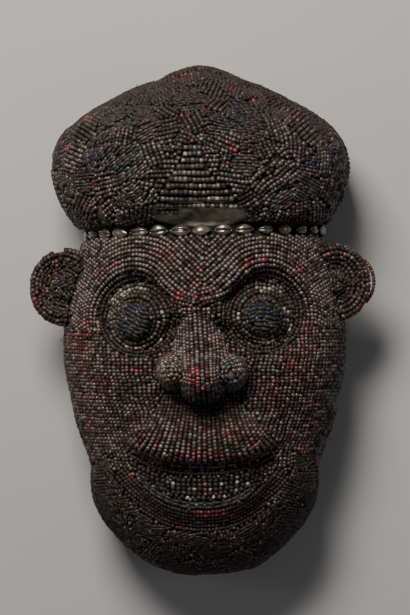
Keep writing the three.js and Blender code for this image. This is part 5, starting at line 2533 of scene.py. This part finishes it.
class Mask:
    """The whole mask: its beads, shells, body and threads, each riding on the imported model."""

    def __init__(self, seed: int = 20) -> None:
        """Prepares the finishes and an empty piece of sewing.

        Args:
            seed: The start of every random draw.
        """
        self.random = np.random.default_rng(seed)
        self.sewing = Sewing(np.random.default_rng(seed + 1))
        self.pyramid = PyramidWork(self.sewing)
        glasses = (
            GlassFinish("dark_glass", (0.012, 0.0088, 0.008), (0.085, 0.064, 0.057)),
            GlassFinish("brown_glass", (0.022, 0.0105, 0.0095), (0.088, 0.046, 0.041)),
            GlassFinish("red_glass", (0.05, 0.0095, 0.0105), (0.17, 0.03, 0.033)),
            GlassFinish("navy_glass", (0.008, 0.009, 0.017), (0.03, 0.034, 0.064)),
            GlassFinish("pale_glass", (0.05, 0.045, 0.036), (0.5, 0.46, 0.37), smooth=0.06, worn=0.3),
            GlassFinish("grey_glass", (0.028, 0.025, 0.018), (0.12, 0.106, 0.08), smooth=0.1),
            GlassFinish("slate_glass", (0.016, 0.018, 0.017), (0.058, 0.064, 0.06), smooth=0.2),
        )
        self.glasses = [glass.material() for glass in glasses]

    def ride(self, piece: Piece, slot: str, *nodes: str) -> None:
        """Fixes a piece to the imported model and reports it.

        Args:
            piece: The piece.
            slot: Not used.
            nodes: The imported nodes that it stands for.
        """
        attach(piece, "root")
        if nodes:
            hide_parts(*nodes)
        LOG.info("%s: %d faces", piece.name, len(piece.data.polygons))

    def sew(self) -> None:
        """Sews every region, the clearest figures first, so that the plain ground fills up round them."""
        sewing = self.sewing
        works = [
            self.pyramid,
            EyeWork(sewing, HEAD.eyes[0], -24, 15.4, 0.012),
            EyeWork(sewing, HEAD.eyes[1], -8, 13.0, 0.004),
            NoseWork(sewing),
            MouthWork(sewing),
            MuzzleWork(sewing),
            *(BrowWork(sewing, eye) for eye in HEAD.eyes),
            ChinWork(sewing),
            *(CheekWork(sewing, side) for side in (-1, 1)),
            EarWork(sewing, EARS[0], (24, -46), ((-6, 26), (-12, 1), (-24, -9)), 0.6),
            EarWork(sewing, EARS[1], (82, 28)),
            Patchwork(sewing, HEAD, Region.BEARD, BEARD_PATCHES, self.on_beard, 24.0, 20.0, only=Work.FINE),
            Patchwork(sewing, CAP, Region.CAP, CAP_PATCHES, self.on_cap),
            GapWork(sewing, HEAD, Region.CHEEKS, self.on_head),
            GapWork(sewing, CAP, Region.CAP, self.on_cap),
        ]
        for work in works:
            work.sew()

    def on_beard(self, points: Array) -> Array:
        """Which points belong to the beard band or to the wall below it."""
        return HEAD.bearded(points) > 0.3

    def on_head(self, points: Array) -> Array:
        """Which points of the head lie clear of the cap, the shells and the ears."""
        return (CAP.level(points) > CLEARANCE) & uncovered(points)

    def on_cap(self, points: Array) -> Array:
        """Which points of the cap lie clear of its triangle, the head, the shells and the ears."""
        clear = (HEAD.level(points) > CLEARANCE) & uncovered(points)
        return clear & self.pyramid.allows(points) & off_furrows(points)

    def build_beads(self) -> None:
        """Makes the bead pieces: one for each region, in two halves where it has two sides."""
        batches = self.sewing.batches
        beads = {key: np.concatenate([batch[key] for batch in batches]) for key in batches[0]}
        beads["roll"] = self.random.random(len(beads["points"])) * 2 * math.pi
        LOG.info("%d beads", len(beads["roll"]))
        maker = BeadMaker()
        left = beads["points"][:, 0] + 0.001 < 0
        for region in Region:
            here = beads["region"] == region.value
            parts = {region.value: here}
            if region in (Region.CHEEKS, Region.EARS, Region.CAP):
                parts = {f"{region.value}_left": here & left, f"{region.value}_right": here & ~left}
            for name, mine in parts.items():
                part = {key: values[mine] for key, values in beads.items()}
                self.ride(maker.build(name, part, self.glasses), "glass_beads")
        strand = maker.build("loose_red_strand", LooseStrand().sewn(self.random), self.glasses)
        self.ride(strand, "red_beads", "loose_bead_strand")

    def build(self) -> None:
        """Makes the whole mask."""
        body = WoodenBody(ClothFinish().material(), WoodFinish().material())
        self.ride(body.build(), "beadwork", "mask_body")
        shells = CowrieRow().build(ShellFinish().material(), self.random)
        for number, shell in enumerate(shells, 1):
            self.ride(shell, "cowrie_shell", f"cowrie_{number:02d}")
        thread = THREAD.material()
        self.ride(LooseThreads().build(thread, self.random), "cloth")
        self.ride(LooseStrand().thread(thread), "cloth")
        self.sew()
        self.build_beads()


def main() -> None:
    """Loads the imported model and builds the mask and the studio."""
    logging.basicConfig(level=logging.INFO, format="%(name)s: %(message)s")
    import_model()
    Studio().build()
    Mask().build()


if __name__ == "__main__":
    main()
